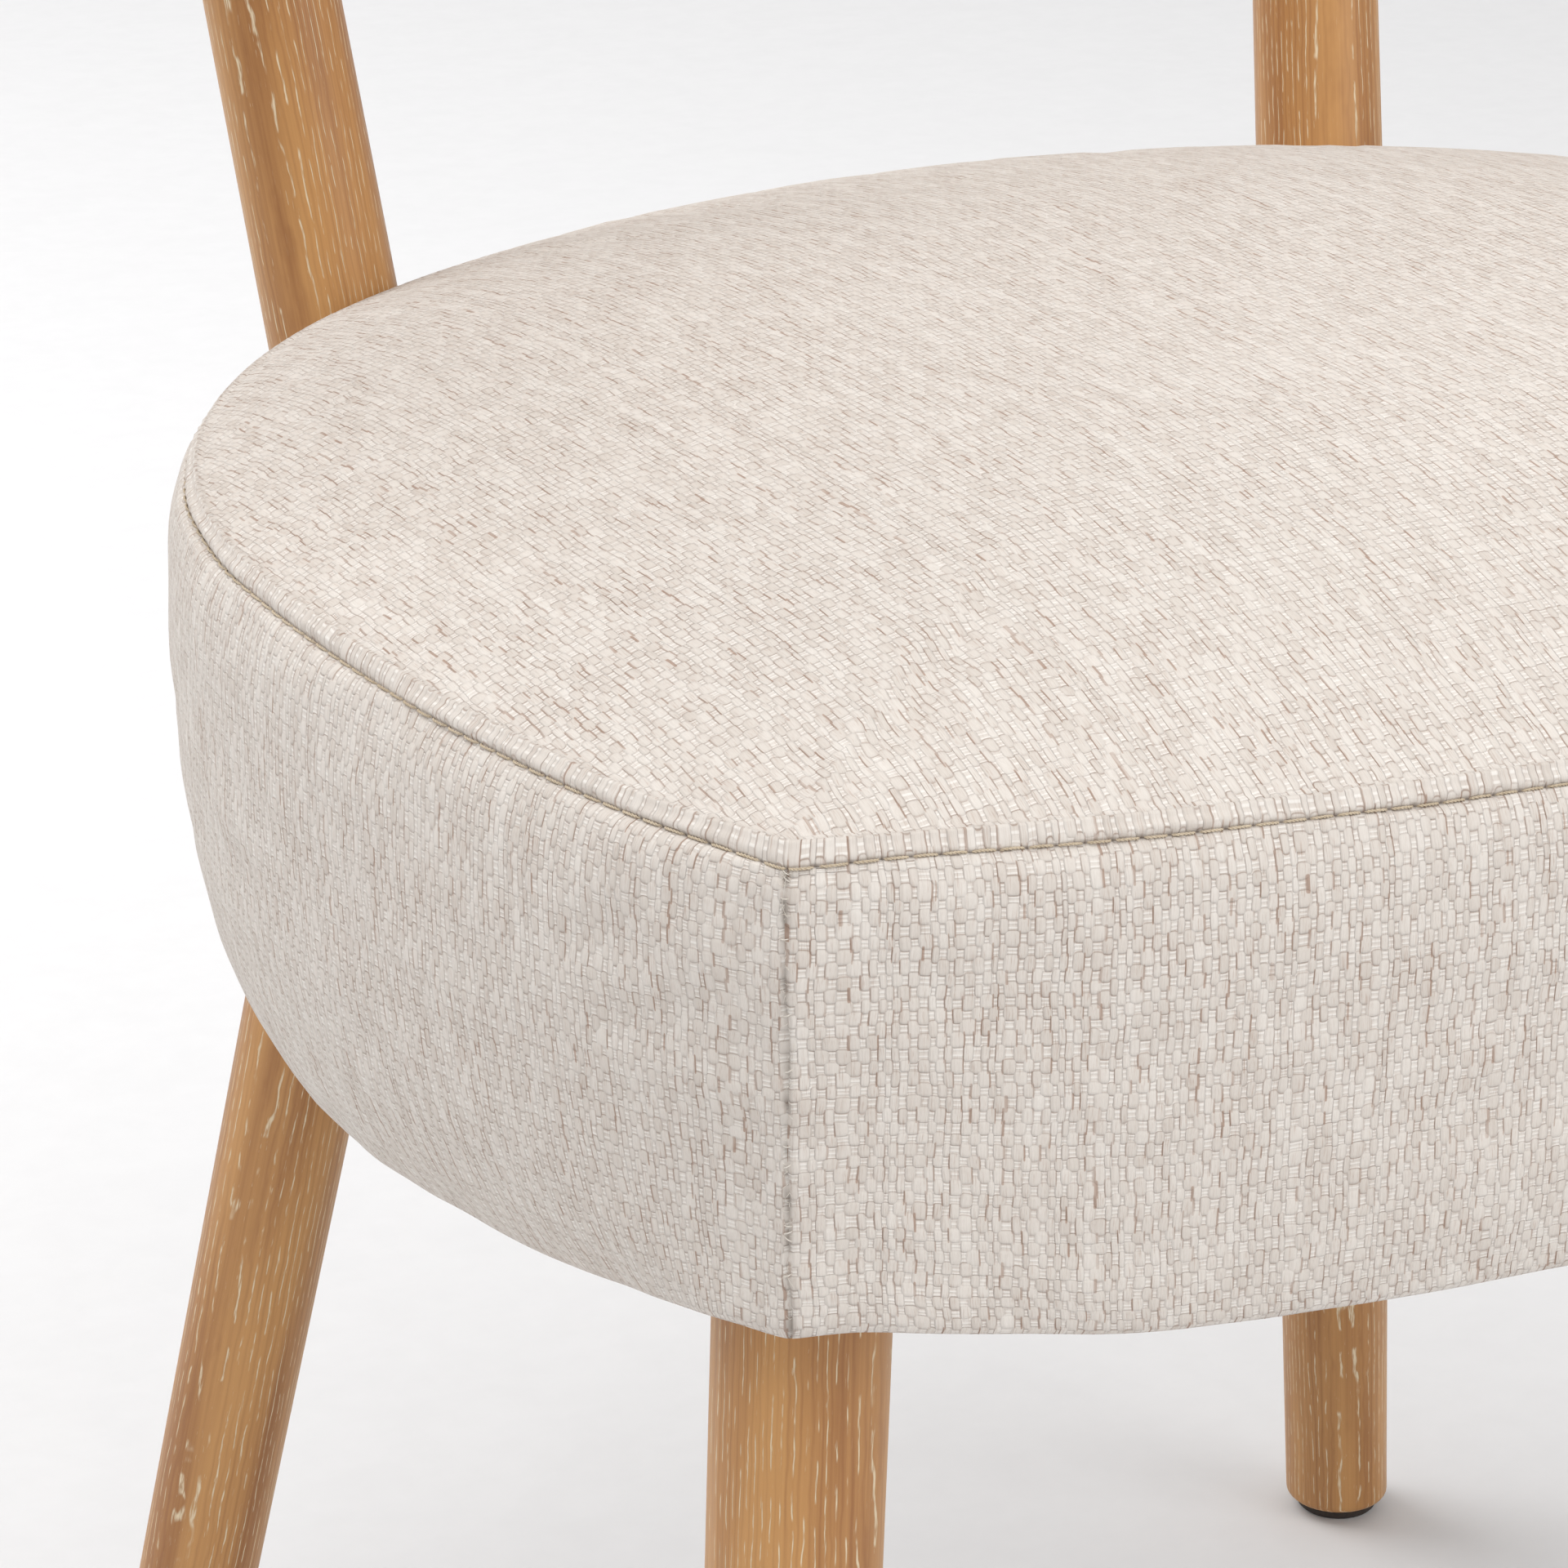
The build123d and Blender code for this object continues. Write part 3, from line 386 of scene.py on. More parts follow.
def speckle_group() -> bpy.types.NodeTree:
    """Fine cloudy variation for the plain finishes.

    Returns:
        A group that gives a colour between two, a roughness and a height.
    """
    net, start, end = new_group(
        "FineSpeckle", {"Place": "Vector", "Scale": "Float", "Light": "Color", "Dark": "Color",
                        "Rough": "Float"},
        {"Color": "Color", "Roughness": "Float", "Height": "Float"})
    fine = net.node("TexNoise", {"Vector": start.outputs["Place"], "Scale": start.outputs["Scale"],
                                 "Detail": 4.0, "Roughness": 0.65}).outputs[0]
    soft = net.noise(start.outputs["Place"], 22.0, 2.0)
    share = net.math("MULTIPLY_ADD", fine, 0.7, net.math("MULTIPLY", soft, 0.4))
    net.put(end.inputs["Color"], net.mix(net.spread(share, 0.3, 0.8), start.outputs["Light"],
                                         start.outputs["Dark"]))
    net.put(end.inputs["Roughness"], net.math("MULTIPLY_ADD", fine, 0.16, start.outputs["Rough"]))
    net.put(end.inputs["Height"], fine)
    return net.tree


class Effects:
    """The shader node groups that several finishes share, each built once."""

    def __init__(self) -> None:
        """Builds the groups."""
        self.weave = weave_group(float_group())
        self.grain = grain_group()
        self.speckle = speckle_group()


def shell(name: str) -> tuple[bpy.types.Material, Net, bpy.types.Node]:
    """An empty material.

    Args:
        name: Its name.

    Returns:
        The material, its net and its Principled BSDF.
    """
    made = bpy.data.materials.new(name)
    made.use_nodes = True
    return made, Net(made.node_tree), made.node_tree.nodes["Principled BSDF"]


def bumped(net: Net, bsdf: bpy.types.Node, height: Socket, distance: float, strength: float = 1.0) -> None:
    """Feeds a height to a surface's normal.

    Args:
        net: The material's net.
        bsdf: Its shader.
        height: The height, in units of distance.
        distance: That unit in metres.
        strength: Share of the bump that is kept.
    """
    bump = net.node("Bump", {"Height": height, "Distance": distance, "Strength": strength})
    net.put(bsdf.inputs["Normal"], bump.outputs[0])


@dataclass(frozen=True)
class WovenCloth:
    """The seat's thick-and-thin cloth. Pitches are in millimetres."""

    name: str = "seat_weave"
    column: float = 1.72
    row: float = 3.05
    light: tuple[float, ...] = tone(229, 223, 216)
    dark: tuple[float, ...] = tone(198, 187, 177)
    fleck: tuple[float, ...] = tone(164, 134, 116)
    yarn_height: float = 0.46 * MM

    def make(self, effects: Effects) -> bpy.types.Material:
        """Builds the material.

        Args:
            effects: The shared groups.

        Returns:
            The material.
        """
        made, net, bsdf = shell(self.name)
        cloth = net.node("Attribute", attribute_name="cloth").outputs["Vector"]
        shade = net.node("Attribute", attribute_name="shade").outputs["Fac"]
        weave = net.group(effects.weave, {"Cloth": cloth, "Column": self.column, "Row": self.row,
                                          "Light": self.light, "Dark": self.dark, "Fleck": self.fleck})
        colour = net.mix(shade, weave.outputs["Color"], tone(96, 82, 70))
        net.put(bsdf.inputs["Base Color"], colour)
        bsdf.inputs["Roughness"].default_value = 0.92
        bsdf.inputs["Specular IOR Level"].default_value = 0.2
        bsdf.inputs["Sheen Weight"].default_value = 0.12
        bsdf.inputs["Sheen Roughness"].default_value = 0.5
        bumped(net, bsdf, weave.outputs["Height"], self.yarn_height)
        return made


@dataclass(frozen=True)
class Timber:
    """A grained wood, with or without white wax in its pores."""

    name: str
    light: tuple[float, ...]
    dark: tuple[float, ...]
    waxed: float = 0.0
    ring: float = 3.4
    coat: float = 0.0
    wax: tuple[float, ...] = tone(226, 208, 176)

    def make(self, effects: Effects) -> bpy.types.Material:
        """Builds the material.

        Args:
            effects: The shared groups.

        Returns:
            The material.
        """
        made, net, bsdf = shell(self.name)
        grain = net.node("Attribute", attribute_name="grain").outputs["Vector"]
        figure = net.group(effects.grain, {"Grain": grain, "Light": self.light, "Dark": self.dark,
                                           "Wax": self.wax,
                                           "Waxed": self.waxed, "Ring": self.ring})
        net.put(bsdf.inputs["Base Color"], figure.outputs["Color"])
        net.put(bsdf.inputs["Roughness"], figure.outputs["Roughness"])
        bsdf.inputs["Coat Weight"].default_value = self.coat
        bsdf.inputs["Coat Roughness"].default_value = 0.38
        bumped(net, bsdf, figure.outputs["Height"], 0.12 * MM, 0.8)
        return made


@dataclass(frozen=True)
class Plain:
    """A finish of one material with fine variation: foam, wadding, metal, plastic or thread."""

    name: str
    light: tuple[float, ...]
    dark: tuple[float, ...]
    rough: float = 0.6
    metal: float = 0.0
    scale: float = 900.0
    relief: float = 0.05 * MM

    def make(self, effects: Effects) -> bpy.types.Material:
        """Builds the material.

        Args:
            effects: The shared groups.

        Returns:
            The material.
        """
        made, net, bsdf = shell(self.name)
        place = net.node("TexCoord").outputs["Object"]
        look = net.group(effects.speckle, {"Place": place, "Scale": self.scale, "Light": self.light,
                                           "Dark": self.dark, "Rough": self.rough})
        net.put(bsdf.inputs["Base Color"], look.outputs["Color"])
        net.put(bsdf.inputs["Roughness"], look.outputs["Roughness"])
        bsdf.inputs["Metallic"].default_value = self.metal
        bumped(net, bsdf, look.outputs["Height"], self.relief)
        return made


class Finish(Enum):
    """Every finish on the chair, by the record's slot name.

    Thread, fibre and paint are the seams' and the studio's own.
    """

    LIMED_OAK = Timber("limed_oak", tone(196, 145, 86), tone(150, 98, 50), waxed=0.95, ring=2.0, coat=0.12)
    DOWEL_BEECH = Timber("dowel_beech", tone(222, 190, 150), tone(196, 158, 116), ring=2.4)
    FRAME_BEECH = Timber("frame_beech", tone(214, 180, 140), tone(186, 146, 104), ring=4.0)
    PLYWOOD = Timber("plywood", tone(218, 188, 146), tone(176, 138, 98), ring=1.6)
    FOAM = Plain("foam", tone(236, 232, 214), tone(214, 208, 186), 0.9, scale=1500.0, relief=0.3 * MM)
    WADDING = Plain("wadding", tone(240, 239, 235), tone(214, 212, 206), 0.95, scale=500.0, relief=0.6 * MM)
    SEAT_FABRIC = WovenCloth()
    DUST_CLOTH = Plain("dust_cloth", tone(58, 56, 54), tone(30, 29, 28), 0.85, scale=1400.0, relief=0.15 * MM)
    BRASS_INSERT = Plain("brass_insert", tone(206, 172, 96), tone(150, 118, 60), 0.28, 1.0, 1600.0, 0.02 * MM)
    ZINC_STEEL = Plain("zinc_steel", tone(206, 208, 210), tone(150, 153, 158), 0.3, 1.0, 1600.0, 0.02 * MM)
    GLIDE_PLASTIC = Plain("glide_plastic", tone(60, 50, 42), tone(34, 28, 24), 0.5, 0.0, 1200.0, 0.02 * MM)
    THREAD = Plain("seam_thread", tone(221, 207, 184), tone(178, 160, 134), 0.75, 0.0, 2600.0, 0.08 * MM)
    FIBRE = Plain("seam_fibre", tone(238, 233, 225), tone(206, 198, 186), 0.8, 0.0, 2600.0, 0.02 * MM)
    FLOOR_PAINT = Plain("floor_paint", tone(235, 235, 236), tone(232, 232, 233), 0.75, 0.0, 60.0, 0.01 * MM)


class Paints:
    """Gives the finishes as materials, each built when first asked for."""

    def __init__(self) -> None:
        """Builds the shared groups."""
        self.effects = Effects()
        self.made: dict[Finish, bpy.types.Material] = {}

    def of(self, finish: Finish) -> bpy.types.Material:
        """The material of a finish."""
        if finish not in self.made:
            self.made[finish] = finish.value.make(self.effects)
        return self.made[finish]


# ---------------------------------------------------------------- meshes

def mesh_object(name: str, points: Array, faces: list[Array],
                material: bpy.types.Material) -> bpy.types.Object:
    """A smooth-shaded mesh object.

    Args:
        name: Its name.
        points: Corner points, one row each.
        faces: Arrays of faces, each array with rows of as many corner numbers as its faces have.
        material: Its finish.

    Returns:
        The object, linked into the scene.
    """
    mesh = bpy.data.meshes.new(name)
    mesh.vertices.add(len(points))
    mesh.vertices.foreach_set("co", np.asarray(points, np.float32).ravel())
    loops = np.concatenate([f.ravel() for f in faces]).astype(np.int32)
    sizes = np.concatenate([np.full(len(f), f.shape[1]) for f in faces]).astype(np.int32)
    starts = np.concatenate([[0], np.cumsum(sizes)[:-1]]).astype(np.int32)
    mesh.loops.add(len(loops))
    mesh.loops.foreach_set("vertex_index", loops)
    mesh.polygons.add(len(sizes))
    mesh.polygons.foreach_set("loop_start", starts)
    mesh.polygons.foreach_set("use_smooth", np.ones(len(sizes), bool))
    mesh.update(calc_edges=True)
    mesh.validate()
    mesh.materials.append(material)
    made = bpy.data.objects.new(name, mesh)
    bpy.context.scene.collection.objects.link(made)
    return made


def tubes(paths: Array, radius: Array | float, sides: int = 6) -> tuple[Array, Array]:
    """Tubes along many paths at once.

    Args:
        paths: Points of shape (path, point, 3).
        radius: One radius, or one per point.
        sides: Corners of each tube's section.

    Returns:
        The points, and the quads of the walls.
    """
    count, length, _ = paths.shape
    ahead = np.gradient(paths, axis=1)
    ahead /= np.linalg.norm(ahead, axis=2, keepdims=True) + 1e-12
    helper = np.where(np.abs(ahead[..., 2:]) > 0.9, np.array([1.0, 0, 0]), np.array([0, 0, 1.0]))
    side = np.cross(ahead, helper)
    side /= np.linalg.norm(side, axis=2, keepdims=True) + 1e-12
    up = np.cross(side, ahead)
    angle = np.arange(sides) * 2 * np.pi / sides
    reach = np.broadcast_to(np.asarray(radius), (count, length))[..., None, None]
    ring = np.cos(angle)[:, None] * side[:, :, None] + np.sin(angle)[:, None] * up[:, :, None]
    points = paths[:, :, None] + reach * ring
    path, point, corner = np.meshgrid(np.arange(count), np.arange(length - 1), np.arange(sides),
                                      indexing="ij")
    base, following = (path * length + point) * sides, (corner + 1) % sides
    quads = np.stack([base + corner, base + following, base + sides + following, base + sides + corner], -1)
    return points.reshape(-1, 3), quads.reshape(-1, 4)


def stretched(values: Array, length: int, axis: int) -> Array:
    """Values read evenly, by straight interpolation, at another number of places along one axis.

    Args:
        values: The values.
        length: The new number of places.
        axis: The axis they run along.

    Returns:
        The values at the new places.
    """
    values = np.moveaxis(values, axis, 0)
    at = np.linspace(0, len(values) - 1, length)
    low = np.minimum(at.astype(int), len(values) - 2)
    part = (at - low).reshape(-1, *([1] * (values.ndim - 1)))
    return np.moveaxis(values[low] * (1 - part) + values[low + 1] * part, 0, axis)


def ripple(rng: np.random.Generator, shape: tuple[int, int], smooth: tuple[float, float]) -> Array:
    """Smooth random relief on a grid that closes on itself sideways, with a spread of 1.

    Args:
        rng: Seeded source of numbers.
        shape: Rows and columns.
        smooth: Smoothing length in rows and in columns.

    Returns:
        The relief.
    """
    rows, columns = shape
    field_ = rng.standard_normal((rows * 3, columns))
    fy = np.fft.fftfreq(rows * 3)[:, None]
    fx = np.fft.fftfreq(columns)[None, :]
    keep = np.exp(-2 * (np.pi * fy * smooth[0]) ** 2 - 2 * (np.pi * fx * smooth[1]) ** 2)
    made = np.fft.ifft2(np.fft.fft2(field_) * keep).real[rows:2 * rows]
    return made / (made.std() + 1e-12)


# ---------------------------------------------------------------- the seat's outline

@dataclass
class SeatOutline:
    """The seat's rim seen from above: a bowed front, two corners and four tangent arcs a side."""

    origin_y: float
    corner_x: float = 231.7 * MM
    corner_y: float = -186.4 * MM
    front_bow: float = 32.6 * MM
    side_angle: float = math.radians(63.8)
    side_spans: tuple[tuple[float, float], ...] = (
        (208.0 * MM, math.radians(15.4)), (607.0 * MM, math.radians(13.9)), (227.0 * MM, math.radians(55.6)))
    front_columns: int = 320
    half_columns: int = 388
    side_arcs: list[tuple[float, float, float, float, float]] = field(default_factory=list)

    def __post_init__(self) -> None:
        """Works out the arcs."""
        self.front_r = (self.corner_x**2 + self.front_bow**2) / (2 * self.front_bow)
        self.front_y = self.corner_y - self.front_bow + self.front_r
        x, y, heading = self.corner_x, self.corner_y, self.side_angle
        for radius, turn in self.side_spans:
            cx, cy = x - radius * math.sin(heading), y + radius * math.cos(heading)
            self.side_arcs.append((cx, cy, radius, heading, heading + turn))
            heading += turn
            x, y = cx + radius * math.sin(heading), cy - radius * math.cos(heading)
        radius = x / math.sin(heading)
        self.side_arcs.append((0.0, y + radius * math.cos(heading), radius, heading, math.pi))
        self.side_length = sum(a[2] * (a[4] - a[3]) for a in self.side_arcs)
        self.front_length = 2 * self.front_r * math.asin(self.corner_x / self.front_r)
        dense, _ = self.rim()
        angle = np.arctan2(dense[:, 1] - self.origin_y, dense[:, 0])
        order = np.argsort(angle)
        self.polar = angle[order], np.hypot(dense[:, 0], dense[:, 1] - self.origin_y)[order]

    @property
    def columns(self) -> int:
        """How many columns go round the seat."""
        return self.front_columns + 2 * self.half_columns

    def marks(self) -> tuple[Array, Array]:
        """Shares of the front's and of a side's length where the columns stand, closer at the corners.

        Returns:
            The front's shares, from 0 to 1, and a side's, from its corner to the middle of the back.
        """
        near = np.array([0.0, 0.33, 1.07, 2.27])
        front = np.arange(self.front_columns + 1, dtype=float)
        front[:4] = near
        front[-4:] = self.front_columns - near[::-1]
        side = np.arange(self.half_columns + 1, dtype=float)
        side[:4] = near
        return front / self.front_columns, side / self.half_columns

    def rim(self) -> tuple[Array, Array]:
        """The rim and its outward normals, one row per column, from the left front corner anticlockwise."""
        front_marks, side_marks = self.marks()
        end = math.asin(self.corner_x / self.front_r)
        heading = end * (2 * front_marks[:-1] - 1)
        front = np.stack([self.front_r * np.sin(heading), self.front_y - self.front_r * np.cos(heading),
                          np.sin(heading), -np.cos(heading)], 1)
        walked, rows, begin = side_marks * self.side_length, [], 0.0
        for index, (cx, cy, radius, start, stop) in enumerate(self.side_arcs):
            length = radius * (stop - start)
            last = index == len(self.side_arcs) - 1
            here = (walked >= begin - 1e-12) & ((walked < begin + length - 1e-12) | last)
            h = start + (stop - start) * np.clip((walked[here] - begin) / length, 0, 1)
            rows.append(np.stack([cx + radius * np.sin(h), cy - radius * np.cos(h), np.sin(h), -np.cos(h)],
                                 1))
            begin += length
        right = np.concatenate(rows)
        left = right[::-1][:-1] * np.array([-1.0, 1.0, -1.0, 1.0])
        everything = np.concatenate([front, right[:-1], left])
        everything[:, 1] += self.origin_y
        return everything[:, :2], everything[:, 2:]

    def corner_distance(self) -> Array:
        """Distance of each column from the nearer front corner, along the rim."""
        front_marks, side_marks = self.marks()
        front = np.minimum(front_marks, 1 - front_marks)[:-1] * self.front_length
        side = side_marks * self.side_length
        return np.concatenate([front, side[:-1], side[::-1][:-1]])

    def ring(self, offset: Array | float, shift: Array | float = 0.0) -> tuple[Array, Array]:
        """The outline moved outwards, with its two corners kept.

        Args:
            offset: Distance outside the rim, one number or one per column.
            shift: Movement along +Y, one number or one per column.

        Returns:
            Places and outward normals, one row per column.
        """
        place, normal = self.rim()
        away = self.corner_distance()
        miter = np.zeros_like(normal)
        for corner in (0, self.front_columns):
            side = -1 if corner == 0 else 1
            first = np.array([side * self.corner_x / self.front_r,
                              -math.sqrt(1 - (self.corner_x / self.front_r) ** 2)])
            second = np.array([side * math.sin(self.side_angle), -math.cos(self.side_angle)])
            both = first + second
            miter[np.sign(place[:, 0]) == side] = both * 2 / (both @ both)
        blend = np.exp(-((away / (9 * MM)) ** 2))[:, None]
        direction = normal * (1 - blend) + miter * blend
        moved = place + direction * np.broadcast_to(np.asarray(offset, float), away.shape)[:, None]
        moved[:, 1] += shift
        return moved, normal

    def back_place(self, x: float) -> tuple[Array, Array]:
        """The rim's place and outward normal at x, on the right half of the back."""
        place, normal = self.rim()
        half = slice(self.front_columns + self.half_columns // 2, self.front_columns + self.half_columns)
        where = place[half][::-1, 0]
        return (np.array([np.interp(x, where, place[half][::-1, axis]) for axis in (0, 1)]),
                np.array([np.interp(x, where, normal[half][::-1, axis]) for axis in (0, 1)]))

    def share(self, x: Array, y: Array) -> Array:
        """How far out a place is: 0 at the middle and 1 on the rim.

        Args:
            x: Places across.
            y: Places along.

        Returns:
            The shares.
        """
        angle = np.arctan2(y - self.origin_y, x)
        edge = np.interp(angle, *self.polar, period=2 * np.pi)
        return np.hypot(x, y - self.origin_y) / edge


@dataclass
class Column:
    """A round leg or post: where its axis is at each height."""

    x: float
    y: float
    z: float
    down: tuple[float, float]
    up: tuple[float, float]
    radius: float

    def axis(self, z: Array) -> Array:
        """The axis at heights z, one row each."""
        z = np.asarray(z, float)
        below, above = np.maximum(self.z - z, 0), np.maximum(z - self.z, 0)
        return np.stack([self.x + self.down[0] * below + self.up[0] * above,
                         self.y + self.down[1] * below + self.up[1] * above], -1)


# ---------------------------------------------------------------- the seat

@dataclass
class SeatCushion:
    """The upholstered seat: a crowned top panel, a raised seam and a boxing that turns under the frame."""

    outline: SeatOutline
    posts: list[Column]
    legs: list[Column]
    rim_z: float = 464.7 * MM
    rim_rise: float = 0.007
    front_dip: float = 1.8 * MM
    crown: float = 28.9 * MM
    crown_power: float = 3.88
    edge_z: float = 337.7 * MM
    edge_rise: float = 13.4 * MM
    edge_reach: float = 200 * MM
    corner_lift: float = 10.4 * MM
    corner_droop: float = 1.3 * MM
    front_reach: float = 36 * MM
    side_reach: float = 57 * MM
    corner_ease: float = 40 * MM
    corner_draw: float = 0.40
    bulge: float = 9.6 * MM
    bulge_start: float = 0.07
    bulge_ease: float = 0.47
    tuck: float = 12.3 * MM
    tuck_back: float = 10.1 * MM
    deck_z: float = 428.3 * MM
    rail_z: float = 355.6 * MM
    stitch_columns: int = 4
    stitch_path: float = 5.3 * MM
    stitch_dip: float = 0.9 * MM
    pressure: float = 4.0
    most_move: float = 4.0 * MM
    side_shift: tuple[float, float] = (37.0, 61.3)  # so that the weave doesn't run on round the corner, mm
    seed: int = 7
    patch_share: float = 0.60

    def base_curve(self, s: Array) -> tuple[Array, Array]:
        """The boxing's section: distance outside the rim, and share of the way down.

        Args:
            s: Shares of the height, 0 at the rim and 1 at the lower edge.

        Returns:
            The distances, and the shift along Y that the tuck adds.
        """
        swell = self.bulge * (1 - np.exp(-s / self.bulge_start)) * (1 - self.bulge_ease * s)
        return swell - self.tuck * s**6, -self.tuck_back * s**6

    def heights(self) -> tuple[Array, Array]:
        """Heights of the rim and of the lower edge, for each column."""
        place, _ = self.outline.ring(0.0)
        y = place[:, 1] - self.outline.origin_y
        rim = self.rim_z + self.rim_rise * (y - self.outline.corner_y)
        columns = np.arange(self.outline.columns)
        on_front = columns < self.outline.front_columns
        rim -= np.where(on_front, self.front_dip * (1 - (place[:, 0] / self.outline.corner_x) ** 2), 0.0)
        away = self.outline.corner_distance()
        edge = self.edge_z + self.edge_rise * np.clip(-y / self.edge_reach, 0, 1)
        reach = np.where(on_front, self.front_reach, self.side_reach)
        edge += self.corner_lift * np.exp(-0.5 * (away / reach) ** 2)
        edge -= self.corner_droop * np.exp(-((away / (11 * MM)) ** 2))
        return rim, edge

    def section(self) -> tuple[Array, Array, Array]:
        """Rows of the boxing and seam.

        Returns:
            Each row's share of the height, its distance from the rim along the section, and how far it
            stands proud of the base curve.
        """
        dense = np.linspace(0, 1, 4000)
        height = self.rim_z - self.edge_z - self.edge_rise / 2
        out, _ = self.base_curve(dense)
        walked = np.concatenate([[0], np.cumsum(np.hypot(np.diff(out), np.diff(dense) * height))])
        near = np.array([0, 0.5, 1.0, 1.6, 2.3, 3.0, 3.6, 4.1, 4.6, 5.0, 5.3, 5.7, 6.1, 6.6, 7.3, 8.3, 9.6,
                         11.3, 13.4, 16.1]) * MM
        far = np.linspace(19.5 * MM, walked[-1], 36)
        path = np.concatenate([near, far])
        share = np.interp(path, walked, dense)
        knots = np.array([0, 0.5, 1.1, 1.7, 2.7, 3.7, 4.5, 5.3, 6.2, 7.5, 12, 18, 40]) * MM
        proud = np.array([0.35, 0.75, 0.75, 0.4, 0.5, 0.45, 0.0, -1.05, -0.35, 0.25, 0.35, 0.1, 0]) * MM
        return share, path, np.interp(path, knots, proud)

    def side_rows(self) -> tuple[Array, Array]:
        """Points of the seam and boxing.

        Returns:
            The points, of shape (row, column, 3), and each row's distance from the rim.
        """
        rng = np.random.default_rng(self.seed)
        share, path, proud = self.section()
        rim, edge = self.heights()
        columns = self.outline.columns
        relief = 0.28 * MM * ripple(rng, (len(share), columns), (1.5, 5.0))
        folds = 0.55 * MM * ripple(rng, (len(share), columns), (8.0, 14.0))
        away = self.outline.corner_distance()
        phase = np.cos(2 * np.pi * np.arange(columns) / self.stitch_columns)
        gathered = np.exp(-0.5 * ((path - self.stitch_path) / (2.2 * MM)) ** 2)
        rows = []
        height = float((rim - edge).mean())
        out, shift = self.base_curve(share)
        slope = np.gradient(out, share * height)
        normal_out, normal_up = 1 / np.hypot(1, slope), slope / np.hypot(1, slope)
        for k, s in enumerate(share):
            lift = proud[k] + relief[k] * min(1.0, path[k] / (4 * MM)) + folds[k] * min(1.0,
                                                                                        s * 5) * (0.4 + s)
            lift = lift - 0.22 * MM * gathered[k] * phase
            below = np.clip((path[k] - self.stitch_path) / (3 * MM), 0, 1)
            lift = lift + 0.5 * MM * below * np.exp(-(((away - 7 * MM) / (4 * MM)) ** 2)) * (1 - 0.5 * s)
            tuck = self.tuck * s**6
            swell = (out[k] + tuck) * (1 - self.corner_draw * below * np.exp(-((away / (16 * MM)) ** 2)))
            eased = 1 - 0.97 * np.exp(-((away / self.corner_ease) ** 2))
            place, _ = self.outline.ring(swell - tuck * eased + lift * normal_out[k], shift[k] * eased)
            dip = self.stitch_dip * math.exp(-(((path[k] - self.stitch_path) / (4 * MM)) ** 2))
            z = rim * (1 - s) + edge * s + lift * normal_up[k] - dip * np.exp(-((away / (13 * MM)) ** 2))
            rows.append(np.column_stack([place, z]))
        return np.array(rows), path

    def patch_edge(self) -> Array:
        """The closed line where the top's rings meet its inner grid, one row per column."""
        o = self.outline
        rim, _ = o.ring(0.0)
        middle = np.array([0.0, o.origin_y])
        side_columns = (o.columns - 2 * o.front_columns) // 2
        corners = np.array([0, o.front_columns, o.front_columns + side_columns,
                            2 * o.front_columns + side_columns,
                            o.columns])
        inner = middle + self.patch_share * (rim - middle)
        made = np.zeros_like(inner)
        for start, end in zip(corners, corners[1:]):
            index = np.arange(start, end)
            t = ((index - start) / (end - start))[:, None]
            straight = inner[start] * (1 - t) + inner[end % o.columns] * t
            made[index] = 0.5 * straight + 0.5 * inner[index]
        return made

    def top_height(self, xy: Array) -> Array:
        """Height of the top panel at places xy."""
        x, y = xy[..., 0], xy[..., 1]
        share = np.clip(self.outline.share(x, y), 0, 1)
        rim = self.rim_z + self.rim_rise * (y - self.outline.origin_y - self.outline.corner_y)
        facing = np.clip(-(y - self.outline.origin_y) / (190 * MM), 0, 1) ** 3
        dip = self.front_dip * facing * share**6 * np.clip(1 - (x / self.outline.corner_x) ** 2, 0, 1)
        return rim - dip + self.crown * (1 - share**self.crown_power)

    def top_rows(self, rim: Array) -> tuple[Array, Array]:
        """Points of the top panel.

        Args:
            rim: The rim's points, which the panel ends at.

        Returns:
            The rings from the rim inwards, of shape (row, column, 3), and the inner grid, of shape
            (row, column, 3), whose edge is the last ring.
        """
        o = self.outline
        edge = self.patch_edge()
        steps = np.array([0.7, 1.4, 2.2, 3.2, 4.6, 6.5, 9, 12, 16, 21, 27, 34, 42, 51, 61, 72]) / 84
        creases = np.array([-0.5, -1.15, -1.2, -0.85, -0.45, -0.15]) * MM
        rings = []
        for index, step in enumerate(steps):
            xy = rim[:, :2] * (1 - step) + edge * step
            z = self.top_height(xy)
            if index < len(creases):
                z = z + creases[index]
            rings.append(np.column_stack([xy, z]))
        side = (o.columns - 2 * o.front_columns) // 2
        nx, ny = o.front_columns, side
        bottom = edge[:nx + 1]
        right = edge[nx:nx + ny + 1]
        top = edge[nx + ny:2 * nx + ny + 1][::-1]
        left = np.concatenate([edge[2 * nx + ny:], edge[:1]])[::-1]
        u, v = np.meshgrid(np.linspace(0, 1, nx + 1), np.linspace(0, 1, ny + 1))
        u, v = u[..., None], v[..., None]
        sheet = (1 - v) * bottom[None] + v * top[None] + (1 - u) * left[:, None] + u * right[:, None]
        sheet = sheet - ((1 - u) * (1 - v) * bottom[0] + u * (1 - v) * bottom[-1]
                         + (1 - u) * v * top[0] + u * v * top[-1])
        return np.array(rings), np.dstack([sheet, self.top_height(sheet)])

